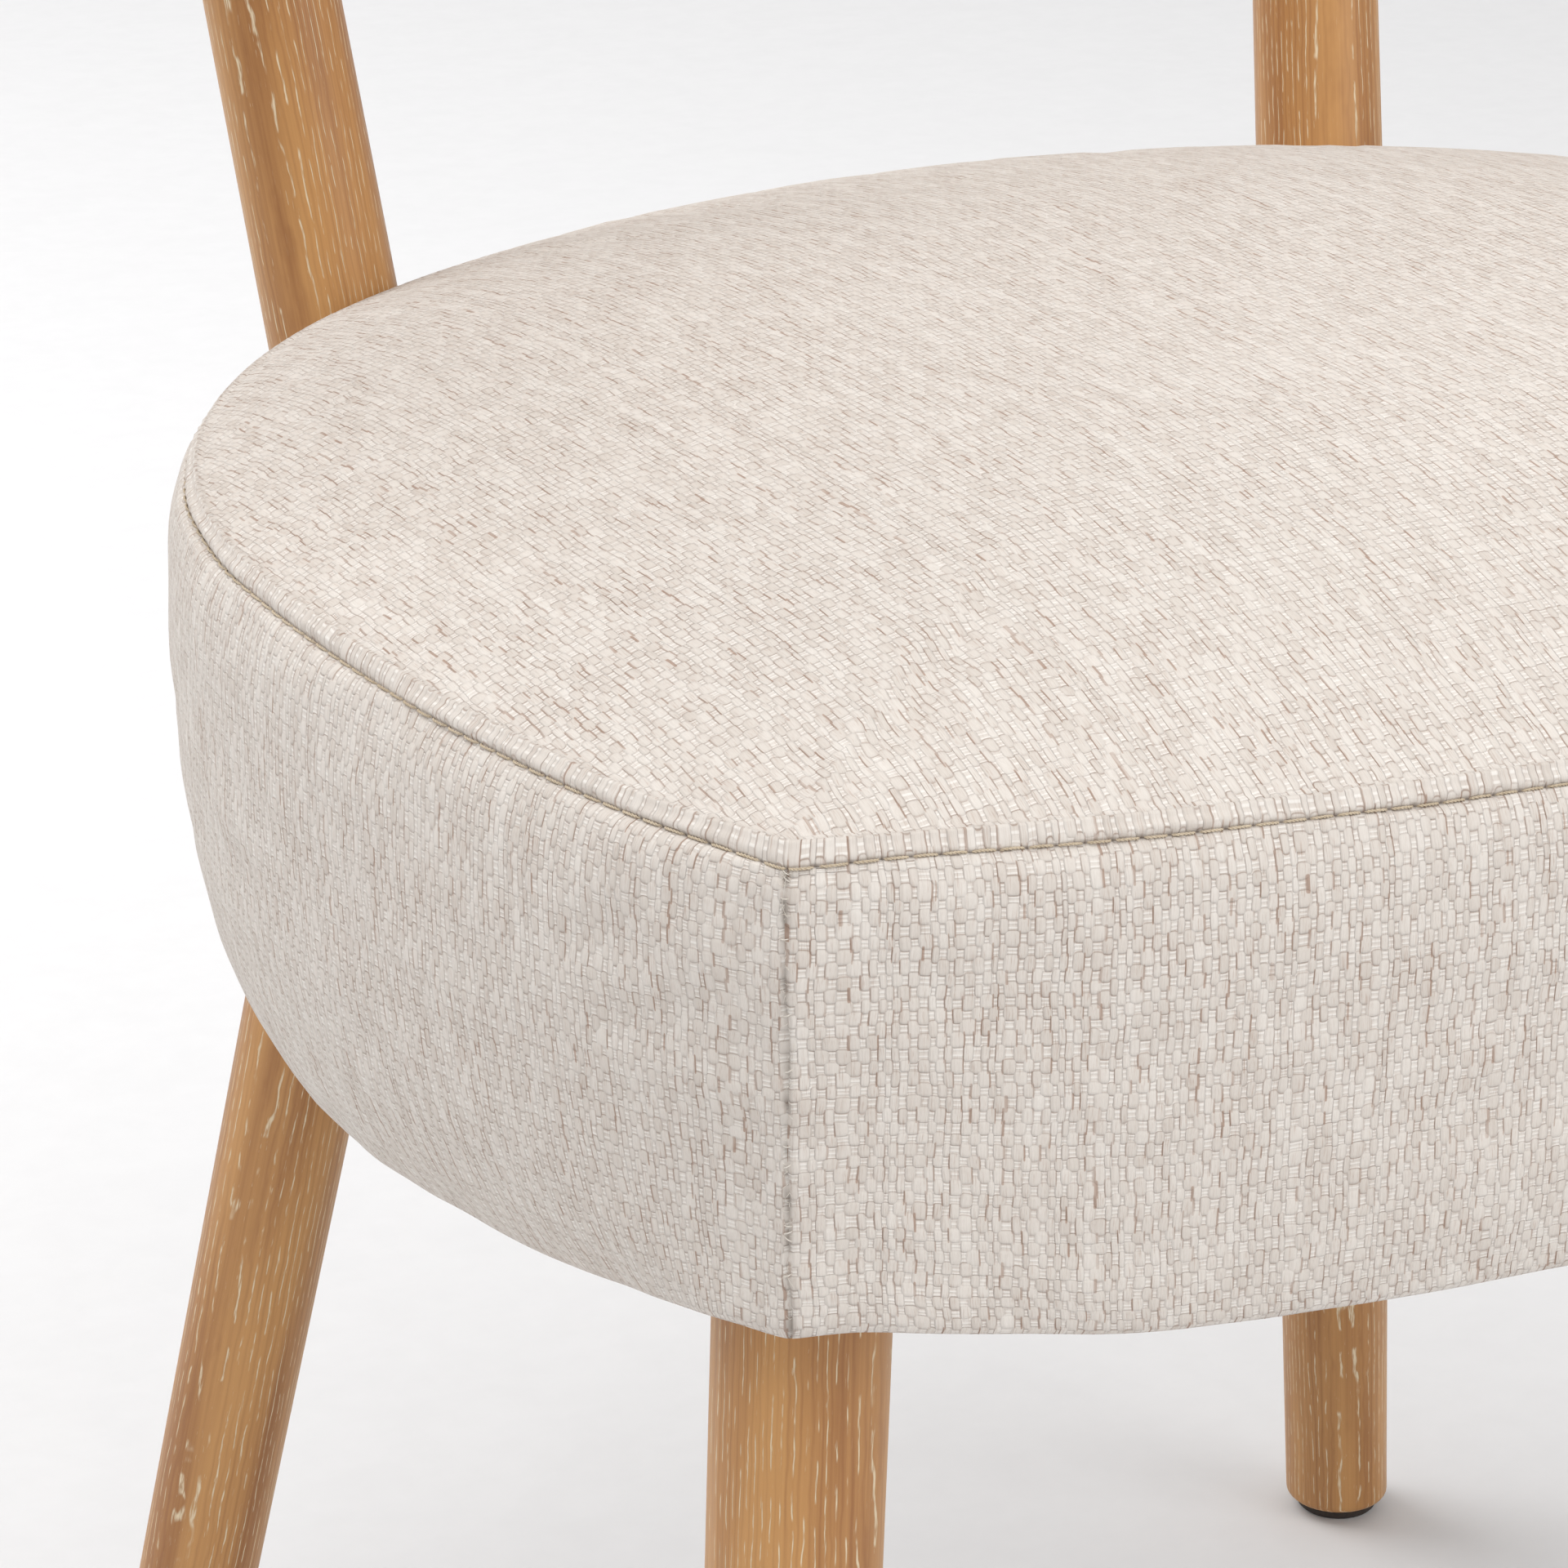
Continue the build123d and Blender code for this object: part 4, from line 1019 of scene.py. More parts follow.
    def under_rows(self, lower: Array) -> Array:
        """Rows from the lower edge, round under the rails and up to the deck.

        Args:
            lower: The lower edge's points.

        Returns:
            The points, of shape (row, column, 3).
        """
        _, edge = self.heights()
        _, normal = self.outline.ring(0.0)
        rows = []
        for inset, drop in ((1.2, -1.6), (3.6, -2.3), (6.5, -1.4), (9.0, 1.5)):
            moved = lower[:, :2] - normal * inset * MM
            rows.append(np.column_stack([moved, edge + drop * MM]))
        for inset, z in ((25.0, 353.4 * MM), (26.0, 354.6 * MM), (26.0, self.rail_z), (13.0, self.rail_z),
                         (11.6, 357.2 * MM), (11.6, 380 * MM), (11.6, 404 * MM), (11.6, self.deck_z),
                         (14.0, self.deck_z)):
            place, _ = self.outline.ring(-inset * MM)
            rows.append(np.column_stack([place, np.full(len(place), z)]))
        return np.array(rows)

    def pressed(self, points: Array, gap: float = 0.4 * MM) -> Array:
        """Presses the seat in where the posts stand against it, and parts the hem round the front legs.

        Args:
            points: Points of any shape (..., 3).
            gap: Room left round the wood.

        Returns:
            The moved points.
        """
        moved = points.copy()
        flat = moved.reshape(-1, 3)
        for post in self.posts:
            axis = post.axis(flat[:, 2])
            out = np.array([post.down[0], post.down[1]])
            out /= np.linalg.norm(out)
            across = np.array([-out[1], out[0]])
            relative = flat[:, :2] - axis
            depth, sideways = relative @ out, relative @ across
            reach = post.radius + gap
            inside = np.abs(sideways) < reach
            limit = np.full(len(flat), np.inf)
            limit[inside] = -np.sqrt(reach**2 - sideways[inside] ** 2)
            push = np.where((depth > limit) & (depth < 2.2 * reach), limit - depth, 0.0)
            flat[:, :2] += push[:, None] * out
        for leg in self.legs:
            relative = flat[:, :2] - leg.axis(flat[:, 2])
            distance = np.linalg.norm(relative, axis=1)
            reach = leg.radius + gap
            near = (distance < reach) & (flat[:, 2] < self.rail_z + 1e-6)
            flat[near, :2] += relative[near] * (reach / np.maximum(distance[near], 1e-6) - 1)[:, None]
        return moved

    def rounded(self, rows: Array, width: float = 1.6) -> Array:
        """Rounds the rows over at the two front corners.

        Args:
            rows: Points of shape (row, column, 3).
            width: Smoothing length in columns.

        Returns:
            The rounded rows.
        """
        steps = np.arange(-6, 7)
        weights = np.exp(-0.5 * (steps / width) ** 2)
        weights /= weights.sum()
        soft = sum(w * np.roll(rows, -k, axis=1) for k, w in zip(steps, weights))
        blend = np.exp(-((self.outline.corner_distance() / (11 * MM)) ** 2))[None, :, None]
        return rows * (1 - blend) + soft * blend

    def settled(self, patch: Array, loops: Array, rim_row: int, stitch_row: int) -> tuple[Array, Array]:
        """Blows the cover up between its seams with a cloth simulation on every fourth column.

        Args:
            patch: The top's inner grid.
            loops: The rings, seam and boxing, from the inner grid outwards and down.
            rim_row: The rim's row in loops.
            stitch_row: The topstitch's row in loops.

        Returns:
            How far each point of the inner grid and of the loops moves.
        """
        step = self.stitch_columns
        rows = [*range(1, rim_row, 2), rim_row, stitch_row, *range(stitch_row + 5, len(loops) - 1, 2),
                len(loops) - 1]
        small, around = patch[::step, ::step], loops[rows][:, ::step]
        grid = np.arange(small.shape[0] * small.shape[1]).reshape(small.shape[:2])
        edge = np.concatenate([grid[0, :-1], grid[:-1, -1], grid[-1, :0:-1], grid[:0:-1, 0]])
        index = grid.size + np.arange(around.shape[0] * around.shape[1]).reshape(around.shape[:2])
        every = np.concatenate([edge[None], index])
        a, b = every[:-1], every[1:]
        walls = np.stack([a, b, np.roll(b, -1, 1), np.roll(a, -1, 1)], -1).reshape(-1, 4)
        top = np.stack([grid[:-1, :-1], grid[:-1, 1:], grid[1:, 1:], grid[1:, :-1]], -1).reshape(-1, 4)
        points = np.concatenate([small.reshape(-1, 3), around.reshape(-1, 3)])
        made = mesh_object("seat_cover_trial", points, [top, walls], bpy.data.materials.new("trial"))
        held = {rows.index(rim_row), rows.index(stitch_row), len(rows) - 1}
        pins = [int(i) for row in held for i in index[row]]
        corner = self.outline.front_columns // step
        pins += [int(index[row, column]) for row in range(rows.index(stitch_row),
                                                          len(rows)) for column in (0, corner)]
        made.vertex_groups.new(name="sewn").add(pins, 1.0, "REPLACE")
        cloth = made.modifiers.new("cover", "CLOTH")
        cloth.settings.quality = 6
        cloth.settings.tension_stiffness = cloth.settings.compression_stiffness = 30.0
        cloth.settings.bending_stiffness = 1.0
        cloth.settings.use_pressure = True
        cloth.settings.uniform_pressure_force = self.pressure
        cloth.settings.effector_weights.gravity = 0.0
        cloth.settings.vertex_group_mass = "sewn"
        scene = bpy.context.scene
        for frame in range(1, 21):
            scene.frame_set(frame)
        blown = made.evaluated_get(bpy.context.evaluated_depsgraph_get()).data
        after = np.zeros(len(points) * 3, np.float32)
        blown.vertices.foreach_get("co", after)
        moved = after.reshape(-1, 3) - points
        bpy.data.objects.remove(made)
        scene.frame_set(1)
        far = np.linalg.norm(moved, axis=1, keepdims=True)
        LOG.info("cloth moves the cover %.1f mm at most, %.1f mm on average, before the cap of %.1f mm",
                 far.max() / MM, far.mean() / MM, self.most_move / MM)
        moved *= np.minimum(1.0, self.most_move / np.maximum(far, 1e-9))
        inner = moved[:grid.size].reshape(*grid.shape, 3)
        outer = moved[grid.size:].reshape(*index.shape, 3)
        inner = stretched(stretched(inner, patch.shape[0], 0), patch.shape[1], 1)
        wide = np.concatenate([outer, outer[:, :1]], 1)
        wide = stretched(wide, loops.shape[1] + 1, 1)[:, :-1]
        first = np.concatenate([inner[0, :-1], inner[:-1, -1], inner[-1, :0:-1], inner[:0:-1, 0]])
        known = np.concatenate([[-1], rows])
        wide = np.concatenate([first[None], wide])
        want = np.arange(len(loops))
        low = np.clip(np.searchsorted(known, want, side="right") - 1, 0, len(known) - 2)
        part = ((want - known[low]) / (known[low + 1] - known[low]))[:, None, None]
        return inner, wide[low] * (1 - part) + wide[low + 1] * part

    def corner_seams(self, side: Array, path: Array, depth: float = 0.95 * MM) -> Array:
        """Draws the boxing in along the two upright seams at its front corners.

        Args:
            side: Points of the seam and boxing.
            path: Each row's distance from the rim.
            depth: How deep the seams lie.

        Returns:
            The points with the seams.
        """
        made = side.copy()
        below = np.clip((path - self.stitch_path) / (2 * MM), 0, 1) * depth
        wander = 0.30 * MM * ripple(np.random.default_rng(17), (2, len(path)), (1e-3, 1.6))
        wander *= np.clip((path - self.stitch_path) / (6 * MM), 0, 1)
        for index, corner in enumerate((0, self.outline.front_columns)):
            sideways = made[:, corner + 3] - made[:, corner - 3]
            sideways /= np.linalg.norm(sideways, axis=1, keepdims=True)
            inward = made[:, corner + 6] + made[:, corner - 6] - 2 * made[:, corner]
            inward[:, 2] = 0
            inward /= np.linalg.norm(inward, axis=1, keepdims=True)
            made[:, corner] += inward * below[:, None] + sideways * wander[index][:, None]
        return made

    def build(self, paints: Paints) -> bpy.types.Object:
        """Builds the seat as one closed mesh.

        Args:
            paints: The finishes.

        Returns:
            The seat.
        """
        o = self.outline
        side, path = self.side_rows()
        side = self.rounded(side)
        rings, patch = self.top_rows(side[0])
        stitch_row = len(rings) + int(np.argmin(np.abs(path - self.stitch_path)))
        inner, outer = self.settled(patch, np.concatenate([rings[::-1], side]), len(rings), stitch_row)
        patch = patch + inner
        rings, side = rings + outer[:len(rings)][::-1], side + outer[len(rings):]
        side = self.corner_seams(side, path)
        under = self.under_rows(side[-1])
        side, under = self.pressed(side), self.pressed(under)
        self.side, self.path = side, path
        columns = o.columns
        ny, nx = patch.shape[0] - 1, patch.shape[1] - 1
        patch_index = np.arange((ny + 1) * (nx + 1)).reshape(ny + 1, nx + 1)
        edge = np.concatenate([patch_index[0, :-1], patch_index[:-1, -1], patch_index[-1, :0:-1],
                               patch_index[:0:-1, 0]])
        loops = np.concatenate([rings[::-1], side, under])
        start = (ny + 1) * (nx + 1)
        ring_index = start + np.arange(len(loops) * columns).reshape(len(loops), columns)
        every = np.concatenate([edge[None], ring_index])
        a, b = every[:-1], every[1:]
        walls = np.stack([a, b, np.roll(b, -1, 1), np.roll(a, -1, 1)], -1)
        top = np.stack([patch_index[:-1, :-1], patch_index[:-1, 1:], patch_index[1:, 1:], patch_index[1:,
                                                                                                      :-1]],
                       -1).reshape(-1, 4)
        points = np.concatenate([patch.reshape(-1, 3), loops.reshape(-1, 3),
                                 [[0.0, o.origin_y, self.deck_z]]])
        last = every[-1]
        cap = np.stack([last, np.full(columns, len(points) - 1), np.roll(last, -1)], -1)
        made = mesh_object("seat_cushion", points, [top, walls.reshape(-1, 4), cap],
                           paints.of(Finish.SEAT_FABRIC))
        self.write_cloth(made, len(rings), len(under), path, top, walls, points, cap)
        return made

    def write_cloth(self, made: bpy.types.Object, top_rings: int, under_rows: int, path: Array, top: Array,
                    walls: Array, points: Array, cap: Array) -> None:
        """Writes the cloth coordinates that the weave follows, and the shade in holes and folds.

        Args:
            made: The seat.
            top_rings: How many rings the top panel has.
            under_rows: How many rows turn under.
            path: Distance of each boxing row from the rim.
            top: Faces of the top's inner grid.
            walls: Faces of all rings, by row and column.
            points: All points.
            cap: Faces of the hidden bottom.
        """
        o = self.outline
        rows, columns = walls.shape[:2]
        panel = np.concatenate([points[top.ravel()][:, :2] / MM, np.full((top.size, 1), 0.0)], 1)
        front_marks, side_marks = o.marks()
        side = side_marks * o.side_length
        along = np.concatenate([front_marks * o.front_length, o.front_length + side[1:],
                                o.front_length + 2 * o.side_length - side[::-1][1:]]) / MM
        down = np.concatenate([path / MM, path[-1] / MM + 3.0 * (1 + np.arange(under_rows))])
        coordinates = np.zeros((rows, columns, 4, 3))
        for row in range(rows):
            if row <= top_rings:
                coordinates[row, ..., :2] = points[walls[row]][..., :2] / MM
                continue
            k = row - top_rings - 1
            v = (down[k], down[k + 1], down[k + 1], down[k])
            u = (along[:-1], along[:-1], along[1:], along[1:])
            on_front = np.arange(columns) < o.front_columns
            band = down[k] < self.stitch_path / MM - 0.1
            for corner in range(4):
                coordinates[row, :, corner, 0] = u[corner] + np.where(on_front, 0.0, self.side_shift[0])
                down_shift = np.where(on_front, 0.0, self.side_shift[1])
                coordinates[row, :, corner, 1] = -v[corner] * (0.55 if band else 1.0) + down_shift
                coordinates[row, :, corner, 2] = np.where(on_front, 40.0, 80.0)
        below = np.concatenate([points[cap.ravel()][:, :2] / MM, np.full((cap.size, 1), 120.0)], 1)
        values = np.concatenate([panel, coordinates.reshape(-1, 3), below]).astype(np.float32)
        layer = made.data.attributes.new("cloth", "FLOAT_VECTOR", "CORNER")
        layer.data.foreach_set("vector", values.ravel())
        shade = np.zeros(len(points), np.float32)
        start = top.max() + 1 + top_rings * columns
        hole = (np.arange(columns) % self.stitch_columns == 0).astype(float)
        away = self.outline.corner_distance()
        gaps = 0.04 + 0.60 * np.random.default_rng(29).random(len(path)) ** 2
        for k, distance in enumerate(path):
            near = math.exp(-((distance - self.stitch_path) / (0.4 * MM)) ** 2)
            seam = (distance > self.stitch_path) * gaps[k] * np.exp(-((away / (0.3 * MM)) ** 2))
            crease = 0.12 * math.exp(-((distance / (0.5 * MM)) ** 2))
            shade[start + k * columns:start + (k + 1) * columns] = np.clip(
                near * (0.12 + 0.78 * hole) + seam + crease, 0, 1)
        spots = made.data.attributes.new("shade", "FLOAT", "POINT")
        spots.data.foreach_set("value", shade)


@dataclass
class Topstitch:
    """The two-ply thread that runs round the seat in the seam's groove."""

    seat: SeatCushion
    ply_radius: float = 0.18 * MM
    twist_radius: float = 0.16 * MM
    twist_pitch: float = 1.5 * MM
    points: int = 18

    def build(self, paints: Paints) -> bpy.types.Object:
        """Builds every stitch as two twisted strands.

        Args:
            paints: The finishes.

        Returns:
            The thread.
        """
        row = int(np.argmin(np.abs(self.seat.path - self.seat.stitch_path)))
        line = self.seat.side[row]
        tangent = np.roll(line, -1, 0) - np.roll(line, 1, 0)
        tangent /= np.linalg.norm(tangent, axis=1, keepdims=True)
        down = self.seat.side[row + 3] - self.seat.side[row - 3]
        normal = np.cross(down, tangent)
        normal /= np.linalg.norm(normal, axis=1, keepdims=True)
        outward = self.seat.outline.ring(0.0)[1]
        normal *= np.sign((normal[:, :2] * outward).sum(1))[:, None]
        step, columns = self.seat.stitch_columns, len(line)
        t = np.linspace(0.03, 0.97, self.points)
        at = (np.arange(0, columns, step)[:, None] + step * t[None]) % columns
        low = np.floor(at).astype(int)
        part = (at - low)[..., None]

        def read(values: Array) -> Array:
            """Values between the columns, along each stitch."""
            return values[low % columns] * (1 - part) + values[(low + 1) % columns] * part

        centre, out, ahead = read(line), read(normal), read(tangent)
        ends = np.exp(-((t / 0.11) ** 2)) + np.exp(-(((1 - t) / 0.11) ** 2))
        arch = 0.42 * MM + 0.24 * MM * np.sin(np.pi * t) - 1.2 * MM * ends
        centre = centre + out * arch[None, :, None]
        side = np.cross(ahead, out)
        length = step * self.seat.outline.front_length / self.seat.outline.front_columns
        start = np.random.default_rng(3).uniform(0, 2 * np.pi, len(centre))[:, None]
        strands = []
        for ply in (0.0, math.pi):
            angle = (2 * np.pi * length * t[None] / self.twist_pitch + start + ply)[..., None]
            strands.append(centre + self.twist_radius * (np.cos(angle) * out + np.sin(angle) * side))
        points, quads = tubes(np.concatenate(strands), self.ply_radius, 6)
        return mesh_object("topstitch", points, [quads], paints.of(Finish.THREAD))


@dataclass
class SeamFibres:
    """Short stitches and frayed fibres that show in the two upright seams."""

    seat: SeatCushion
    stitches: int = 12
    fibres: int = 70

    def build(self, paints: Paints) -> bpy.types.Object:
        """Builds every stitch and fibre as a thin tube.

        Args:
            paints: The finishes.

        Returns:
            The fibres.
        """
        rng = np.random.default_rng(11)
        seat, paths, radii = self.seat, [], []
        first = int(np.argmin(np.abs(seat.path - seat.stitch_path))) + 3
        t = np.linspace(0, 1, 8)[:, None]
        for corner in (0, seat.outline.front_columns):
            line, beside = seat.side[first:, corner], seat.side[first:, corner + 6]
            other = seat.side[first:, corner - 6]
            out = 2 * line - beside - other
            out[:, 2] = 0
            out /= np.linalg.norm(out, axis=1, keepdims=True)
            across = beside - other
            across /= np.linalg.norm(across, axis=1, keepdims=True)
            for index in range(self.stitches + self.fibres):
                at = rng.uniform(0, len(line) - 2)
                row, part = int(at), at % 1
                place = line[row] * (1 - part) + line[row + 1] * part
                ahead = line[row + 1] - line[row]
                ahead = ahead / np.linalg.norm(ahead)
                if index < self.stitches:
                    width, drop = rng.uniform(0.7, 1.1) * MM, rng.uniform(-0.6, 0.6) * MM
                    bow = 0.50 * MM * np.sin(np.pi * t) + 0.45 * MM
                    slant = ahead * (2 * t - 1) * drop
                    path = place + across[row] * (2 * t - 1) * width + slant + out[row] * bow
                    radii.append(np.full(8, 0.13 * MM))
                else:
                    reach = rng.uniform(-1.6, 1.6) * MM
                    length, lift = rng.uniform(-1.8, 1.8) * MM, rng.uniform(0.5, 1.3) * MM
                    path = (place + across[row] * reach * t + ahead * length * t**2
                            + out[row] * (0.3 * MM + lift * np.sin(2.4 * t)))
                    radii.append(np.linspace(0.055, 0.03, 8) * MM)
                paths.append(path)
        points, quads = tubes(np.array(paths), np.array(radii), 5)
        return mesh_object("seam_fibres", points, [quads], paints.of(Finish.FIBRE))


@dataclass
class DustCloth:
    """The thin black cloth under the seat, turned under at its edge and stapled to the rails."""

    outline: SeatOutline
    legs: list[Column]
    z: float = 355.0 * MM
    inset: float = 27.0 * MM
    sag: float = 2.0 * MM

    def build(self, paints: Paints) -> bpy.types.Object:
        """Builds the cloth as one sheet.

        Args:
            paints: The finishes.

        Returns:
            The cloth.
        """
        rng = np.random.default_rng(5)
        every = 4
        ring, _ = self.outline.ring(-self.inset)
        rim = ring[::every]
        for leg in self.legs:
            relative = rim - leg.axis(np.full(len(rim), self.z))
            distance = np.linalg.norm(relative, axis=1)
            reach = leg.radius + 2 * MM
            rim = np.where((distance < reach)[:, None], rim + relative * (
                reach / np.maximum(distance, 1e-6) - 1)[:, None], rim)
        middle = np.array([0.0, self.outline.origin_y])
        shares = np.array([0.0, 0.004, 0.03, 0.045, 0.052, 0.09, 0.15, 0.22, 0.30, 0.39, 0.49, 0.60, 0.71,
                           0.82, 0.92])
        wrinkle = ripple(rng, (len(shares), len(rim)), (1.5, 4.0))
        rows = []
        for index, share in enumerate(shares):
            xy = rim * (1 - share) + middle * share
            folded = 0.35 * MM if share < 0.046 else 0.0
            z = self.z - folded - self.sag * math.sin(math.pi * share / 2) ** 2
            z = z + 0.25 * MM * wrinkle[index] * (share > 0.05)
            rows.append(np.column_stack([xy, np.broadcast_to(z, len(rim))]))
        count = len(rim)
        index = np.arange(len(rows) * count).reshape(len(rows), count)
        a, b = index[:-1], index[1:]
        quads = np.stack([a, np.roll(a, -1, 1), np.roll(b, -1, 1), b], -1).reshape(-1, 4)
        points = np.concatenate([np.concatenate(rows), [[0.0, self.outline.origin_y, self.z - self.sag]]])
        last = index[-1]
        cap = np.stack([last, np.roll(last, -1), np.full(count, len(points) - 1)], -1)
        made = mesh_object("dust_cloth", points, [quads, cap], paints.of(Finish.DUST_CLOTH))
        made.data.flip_normals()
        across = np.diff(np.vstack([rim, rim[:1]]), axis=0)
        self.area = abs(0.5 * float(np.sum(rim[:, 0] * across[:, 1] - rim[:, 1] * across[:, 0])))
        self.flat = (float(np.ptp(rim[:, 0])), float(np.ptp(rim[:, 1])))
        return made


# ---------------------------------------------------------------- the wooden parts

@dataclass
class OakFrame:
    """Legs, posts, crest rail and arms, which keep their drawn shapes and get grain along each member."""

    frame: dict
    posts: list[Column]
    legs: list[Column]

    def coordinates(self, name: str, points: Array) -> Array:
        """Grain coordinates of one member, in millimetres, x along it.

        Args:
            name: The node's name.
            points: Its points in metres.

        Returns:
            The coordinates.
        """
        offset = 311.0 * (sum(map(ord, name)) % 17)
        side = 0 if name.endswith("left") else 1
        if name.startswith(("front_leg", "rear_leg")):
            column = (self.legs if name.startswith("front") else self.posts)[side]
            turn = {"front_leg_left": -28.0, "rear_leg_left": 40.0, "front_leg_right": 35.0}.get(name, 75.0)
            c, s = math.cos(math.radians(turn)), math.sin(math.radians(turn))
            across = (points[:, :2] - column.axis(points[:, 2])) @ np.array([[c, -s], [s, c]])
            along = points[:, 2:]
        else:
            middle = np.array([0.0, 0.03])
            relative = points[:, :2] - middle
            angle = np.arctan2(relative[:, 0], relative[:, 1])
            along = (angle * 0.24)[:, None]
            straight = points[:, 1] < 0.03
            along[straight, 0] = np.sign(points[straight, 0]) * (0.24 * np.pi / 2 + 0.03 - points[straight,
                                                                                                  1])
            out = np.linalg.norm(relative, axis=1)
            out[straight] = np.abs(points[straight, 0])
            across = np.column_stack([out, points[:, 2]])
        return np.column_stack([along / MM + offset, across / MM])

    def dress(self, paints: Paints, finishes: dict[str, Finish]) -> None:
        """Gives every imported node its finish.

        Args:
            paints: The finishes as materials.
            finishes: The finish of each node.
        """
        for name, node in self.frame["nodes"].items():
            finish = finishes[name]
            mesh = node.data
            mesh.materials.clear()
            mesh.materials.append(paints.of(finish))
            points = np.zeros(len(mesh.vertices) * 3, np.float32)
            mesh.vertices.foreach_get("co", points)
            points = points.reshape(-1, 3).astype(float)
            if finish is Finish.LIMED_OAK:
                grain = self.coordinates(name, points)
            elif isinstance(finish.value, Timber):
                order = np.argsort(-np.ptp(points, axis=0))
                grain = points[:, order] / MM
            else:
                continue
            layer = mesh.attributes.new("grain", "FLOAT_VECTOR", "POINT")
            layer.data.foreach_set("vector", grain.astype(np.float32).ravel())
            LOG.info("dressed %s in %s", name, finish.value.name)


def finishes_by_node(nodes: list[str]) -> dict[str, Finish]:
    """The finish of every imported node.

    Args:
        nodes: The nodes' names.

    Returns:
        A finish for each.
    """
    starts = {
        Finish.LIMED_OAK: ("front_leg", "rear_leg", "crest_rail", "arm_left", "arm_right", "screw_plugs"),
        Finish.DOWEL_BEECH: ("frame_dowels", "arm_dowels"),
        Finish.FRAME_BEECH: ("front_rail", "rear_rail", "side_rail", "front_block", "rear_block"),
        Finish.PLYWOOD: ("seat_deck",),
        Finish.FOAM: ("seat_foam",),
        Finish.WADDING: ("boxing_padding",),
        Finish.SEAT_FABRIC: ("cover_top", "boxing_front", "boxing_side"),
        Finish.DUST_CLOTH: ("dust_cover",),
        Finish.BRASS_INSERT: ("leg_inserts", "post_inserts"),
        Finish.GLIDE_PLASTIC: ("glides",),
    }
    chosen = {}
    for name in nodes:
        found = [finish for finish, heads in starts.items() if name.startswith(heads)]
        chosen[name] = found[0] if found else Finish.ZINC_STEEL
    return chosen


# ---------------------------------------------------------------- the studio

@dataclass
class Studio:
    """Pale floor that curves up into a backdrop, soft lights and the camera."""

    camera_at: tuple[float, float, float] = (-0.6959, -1.1036, 0.8515)
    azimuth: float = math.radians(-27.96)
    elevation: float = math.radians(20.795)
    lens: float = 126.1

    def backdrop(self, paints: Paints) -> bpy.types.Object:
        """The floor and the wall behind it, as one swept sheet.

        Args:
            paints: The finishes.

        Returns:
            The sheet.
        """
        radius, reach, tall, half = 1.6, 3.2, 3.4, 9.0
        angle = np.linspace(0, np.pi / 2, 17)
        y = np.concatenate([[-7.0, -2.0], reach + radius * np.sin(angle), [reach + radius]])
        z = np.concatenate([[0.0, 0.0], radius - radius * np.cos(angle), [tall]])
        x = np.linspace(-half, half, 9)
        grid = np.stack(np.meshgrid(x, np.arange(len(y)), indexing="xy"), -1)
        points = np.column_stack([grid[..., 0].ravel(), y[grid[..., 1].astype(int)].ravel(),
                                  z[grid[..., 1].astype(int)].ravel()])
        index = np.arange(len(points)).reshape(len(y), len(x))
        quads = np.stack([index[:-1, :-1], index[:-1, 1:], index[1:, 1:], index[1:, :-1]], -1).reshape(-1, 4)
        turn = self.azimuth
        matrix = np.array([[math.cos(turn), -math.sin(turn), 0], [math.sin(turn), math.cos(turn), 0], [0, 0,
                                                                                                       1]])
        made = mesh_object("studio_floor", points @ matrix.T, [quads], paints.of(Finish.FLOOR_PAINT))
        return made

    def softbox(self, name: str, at: tuple[float, ...], aim: tuple[float, ...], size: tuple[float, float],
                power: float) -> None:
        """An area light.

        Args:
            name: Its name.
            at: Where it hangs.
            aim: The point it looks at.
            size: Width and height.
            power: Its power in watts.
        """
        lamp = bpy.data.lights.new(name, "AREA")
        lamp.shape = "RECTANGLE"
        lamp.size, lamp.size_y = size
        lamp.energy = power
        made = bpy.data.objects.new(name, lamp)
        made.location = at
        made.rotation_euler = (Vector(aim) - Vector(at)).to_track_quat("-Z", "Y").to_euler()
        bpy.context.scene.collection.objects.link(made)

    def build(self, paints: Paints) -> None:
        """Sets up floor, lights and camera.

        Args:
            paints: The finishes.
        """
        self.backdrop(paints)
        seat = (0.0, 0.0, 0.4)
        self.softbox("key_light", (-0.7, -1.1, 2.8), seat, (2.2, 2.2), 35.0)
        self.softbox("fill_light", (1.6, -2.4, 1.4), seat, (2.0, 2.0), 22.0)
        self.softbox("floor_light", (-1.2, 1.9, 2.6), (0.4, 2.6, 0.0), (2.0, 2.0), 52.0)
        world = bpy.data.worlds.new("studio_world")
        world.use_nodes = True
        world.node_tree.nodes["Background"].inputs["Color"].default_value = (1.0, 0.99, 0.98, 1.0)
        world.node_tree.nodes["Background"].inputs["Strength"].default_value = 0.62
        scene = bpy.context.scene
        scene.world = world
        scene.view_settings.view_transform = "Standard"
        camera = bpy.data.cameras.new("camera")
        camera.lens = self.lens
        camera.sensor_width = 36.0
        camera.clip_start, camera.clip_end = 0.05, 50.0
        made = bpy.data.objects.new("camera", camera)
        made.location = self.camera_at
        a, e = self.azimuth, self.elevation
        back = Vector((math.sin(a) * math.cos(e), -math.cos(a) * math.cos(e), math.sin(e)))
        made.rotation_mode = "QUATERNION"
        made.rotation_quaternion = (-back).to_track_quat("-Z", "Y")
        scene.collection.objects.link(made)
        scene.camera = made


# ---------------------------------------------------------------- the chair


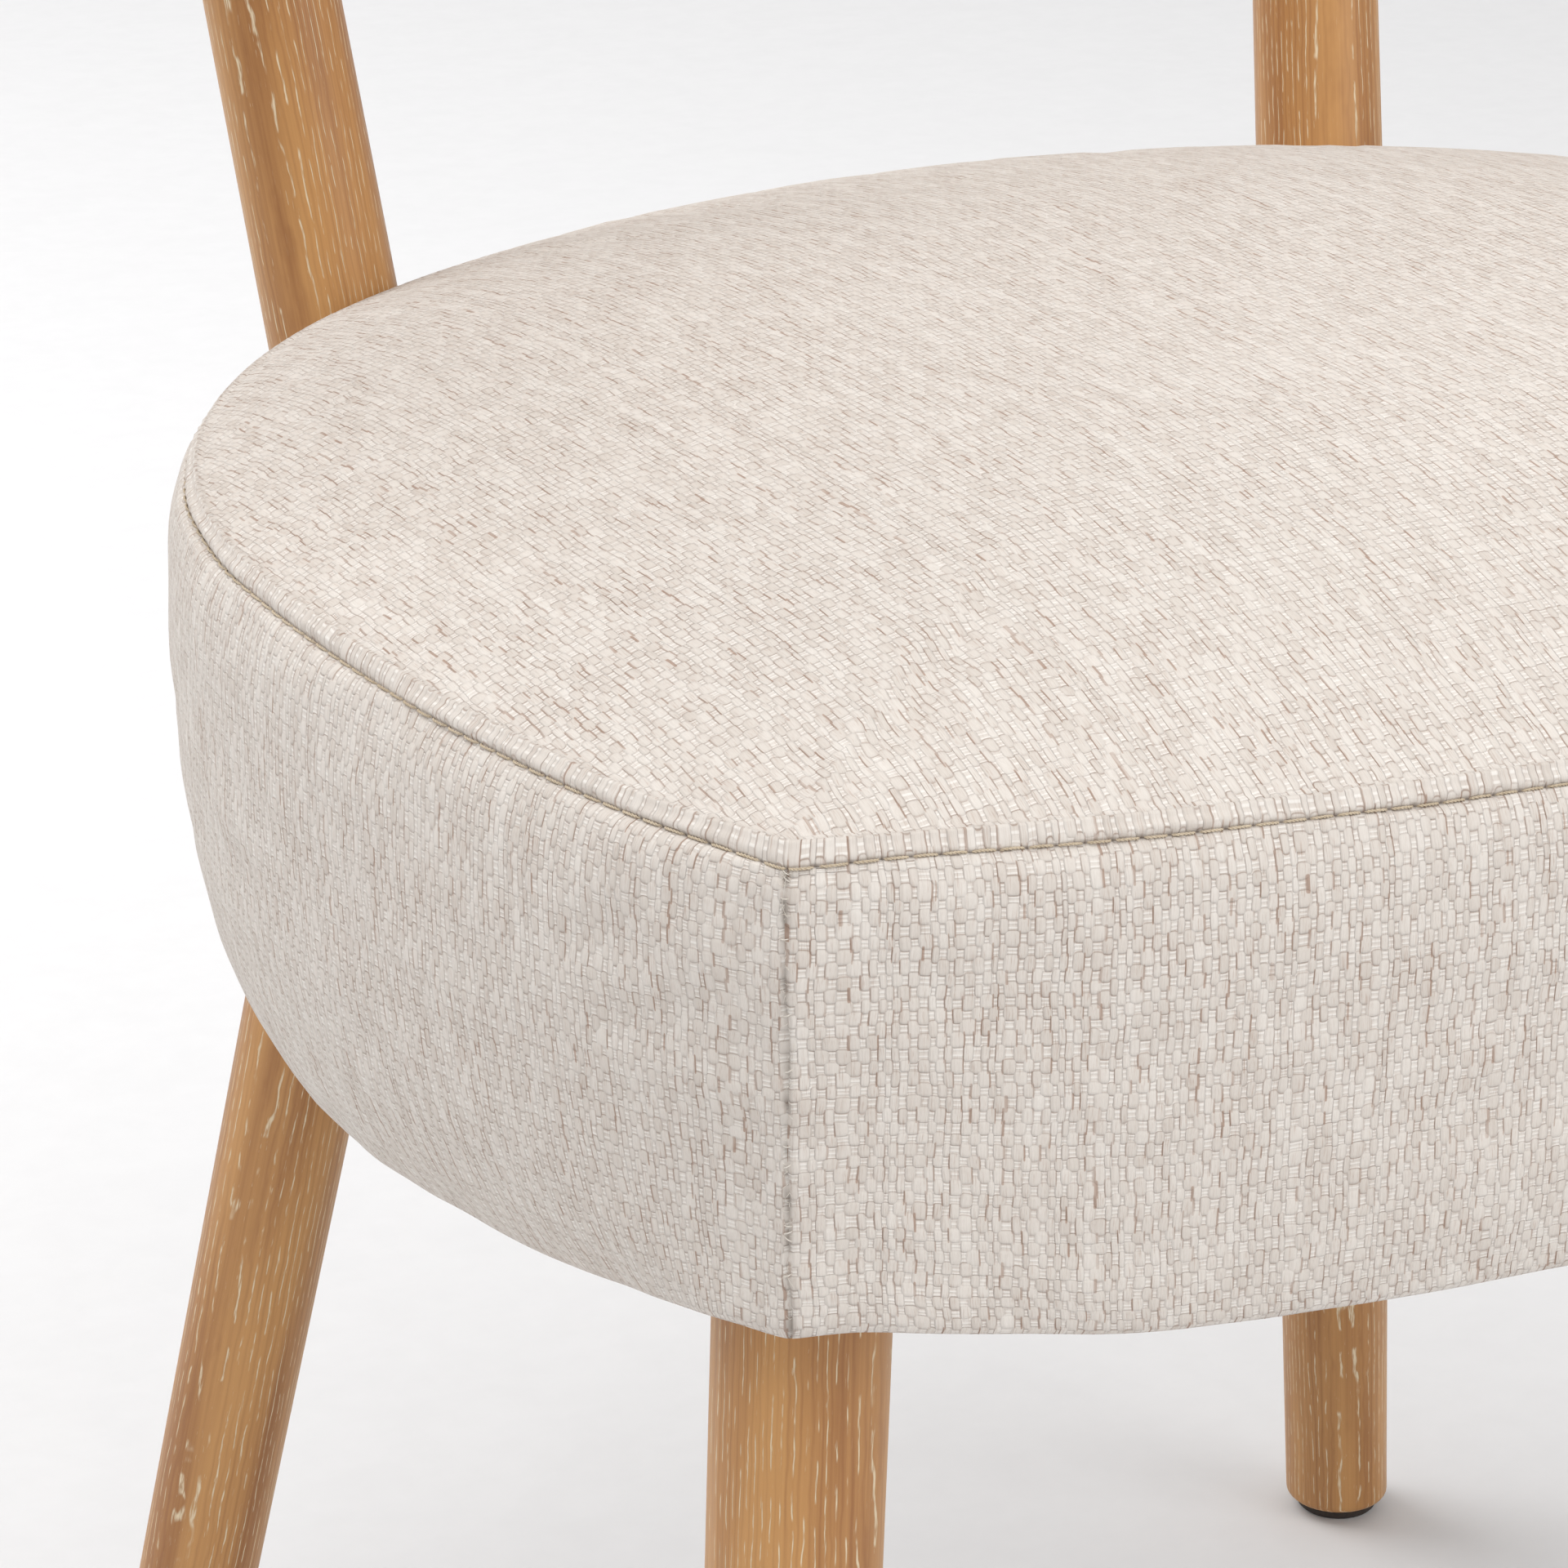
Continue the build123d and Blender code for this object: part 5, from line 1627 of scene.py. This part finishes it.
def posts_and_legs(outline: SeatOutline) -> tuple[list[Column], list[Column]]:
    """Where the posts and the front legs stand, in metres, each list left then right.

    Args:
        outline: The seat's outline.

    Returns:
        The posts and the front legs.
    """
    post_x, knee_z, post_radius = 0.1465, 0.3826, 0.0182
    millimetres_off_seat = 0.7
    post_down, post_up = (0.156, 0.159), (0.079, 0.231)
    leg_x, leg_y, leg_z, leg_radius = 0.2132, -0.1567, 0.338, 0.019
    leg_splay = (0.045, 0.022)
    knee, facing = outline.back_place(post_x)
    knee = knee + facing * millimetres_off_seat * MM
    posts, legs = [], []
    for side in (-1, 1):
        posts.append(Column(side * knee[0], knee[1], knee_z, (side * post_down[0], post_down[1]),
                            (side * post_up[0], post_up[1]), post_radius))
        legs.append(Column(side * leg_x, leg_y + outline.origin_y, leg_z,
                           (side * leg_splay[0], -leg_splay[1]), (side * -leg_splay[0], leg_splay[1]),
                           leg_radius))
    return posts, legs


def main() -> None:
    """Builds the chair's looks in order."""
    logging.basicConfig(level=logging.INFO, format="%(name)s: %(message)s")
    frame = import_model()
    front_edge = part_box("cover_top")[0].y
    outline = SeatOutline(origin_y=0.0)
    outline = SeatOutline(origin_y=front_edge - (outline.corner_y - outline.front_bow))
    posts, legs = posts_and_legs(outline)
    paints = Paints()
    OakFrame(frame, posts, legs).dress(paints, finishes_by_node(list(frame["nodes"])))

    seat = SeatCushion(outline, posts, legs)
    cushion = seat.build(paints)
    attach(cushion, ROOT)
    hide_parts("cover_top", "boxing_front", "boxing_side", "seat_foam", "boxing_padding")
    LOG.info("seat cushion has %d faces", len(cushion.data.polygons))

    thread = Topstitch(seat).build(paints)
    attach(thread, ROOT)
    LOG.info("topstitch has %d faces", len(thread.data.polygons))

    fibres = SeamFibres(seat).build(paints)
    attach(fibres, ROOT)

    cloth = DustCloth(outline, legs)
    under = cloth.build(paints)
    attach(under, ROOT)
    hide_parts("dust_cover")
    LOG.info("dust cloth is %.3f by %.3f m, area %.4f", *cloth.flat, cloth.area)

    Studio().build(paints)


if __name__ == "__main__":
    main()
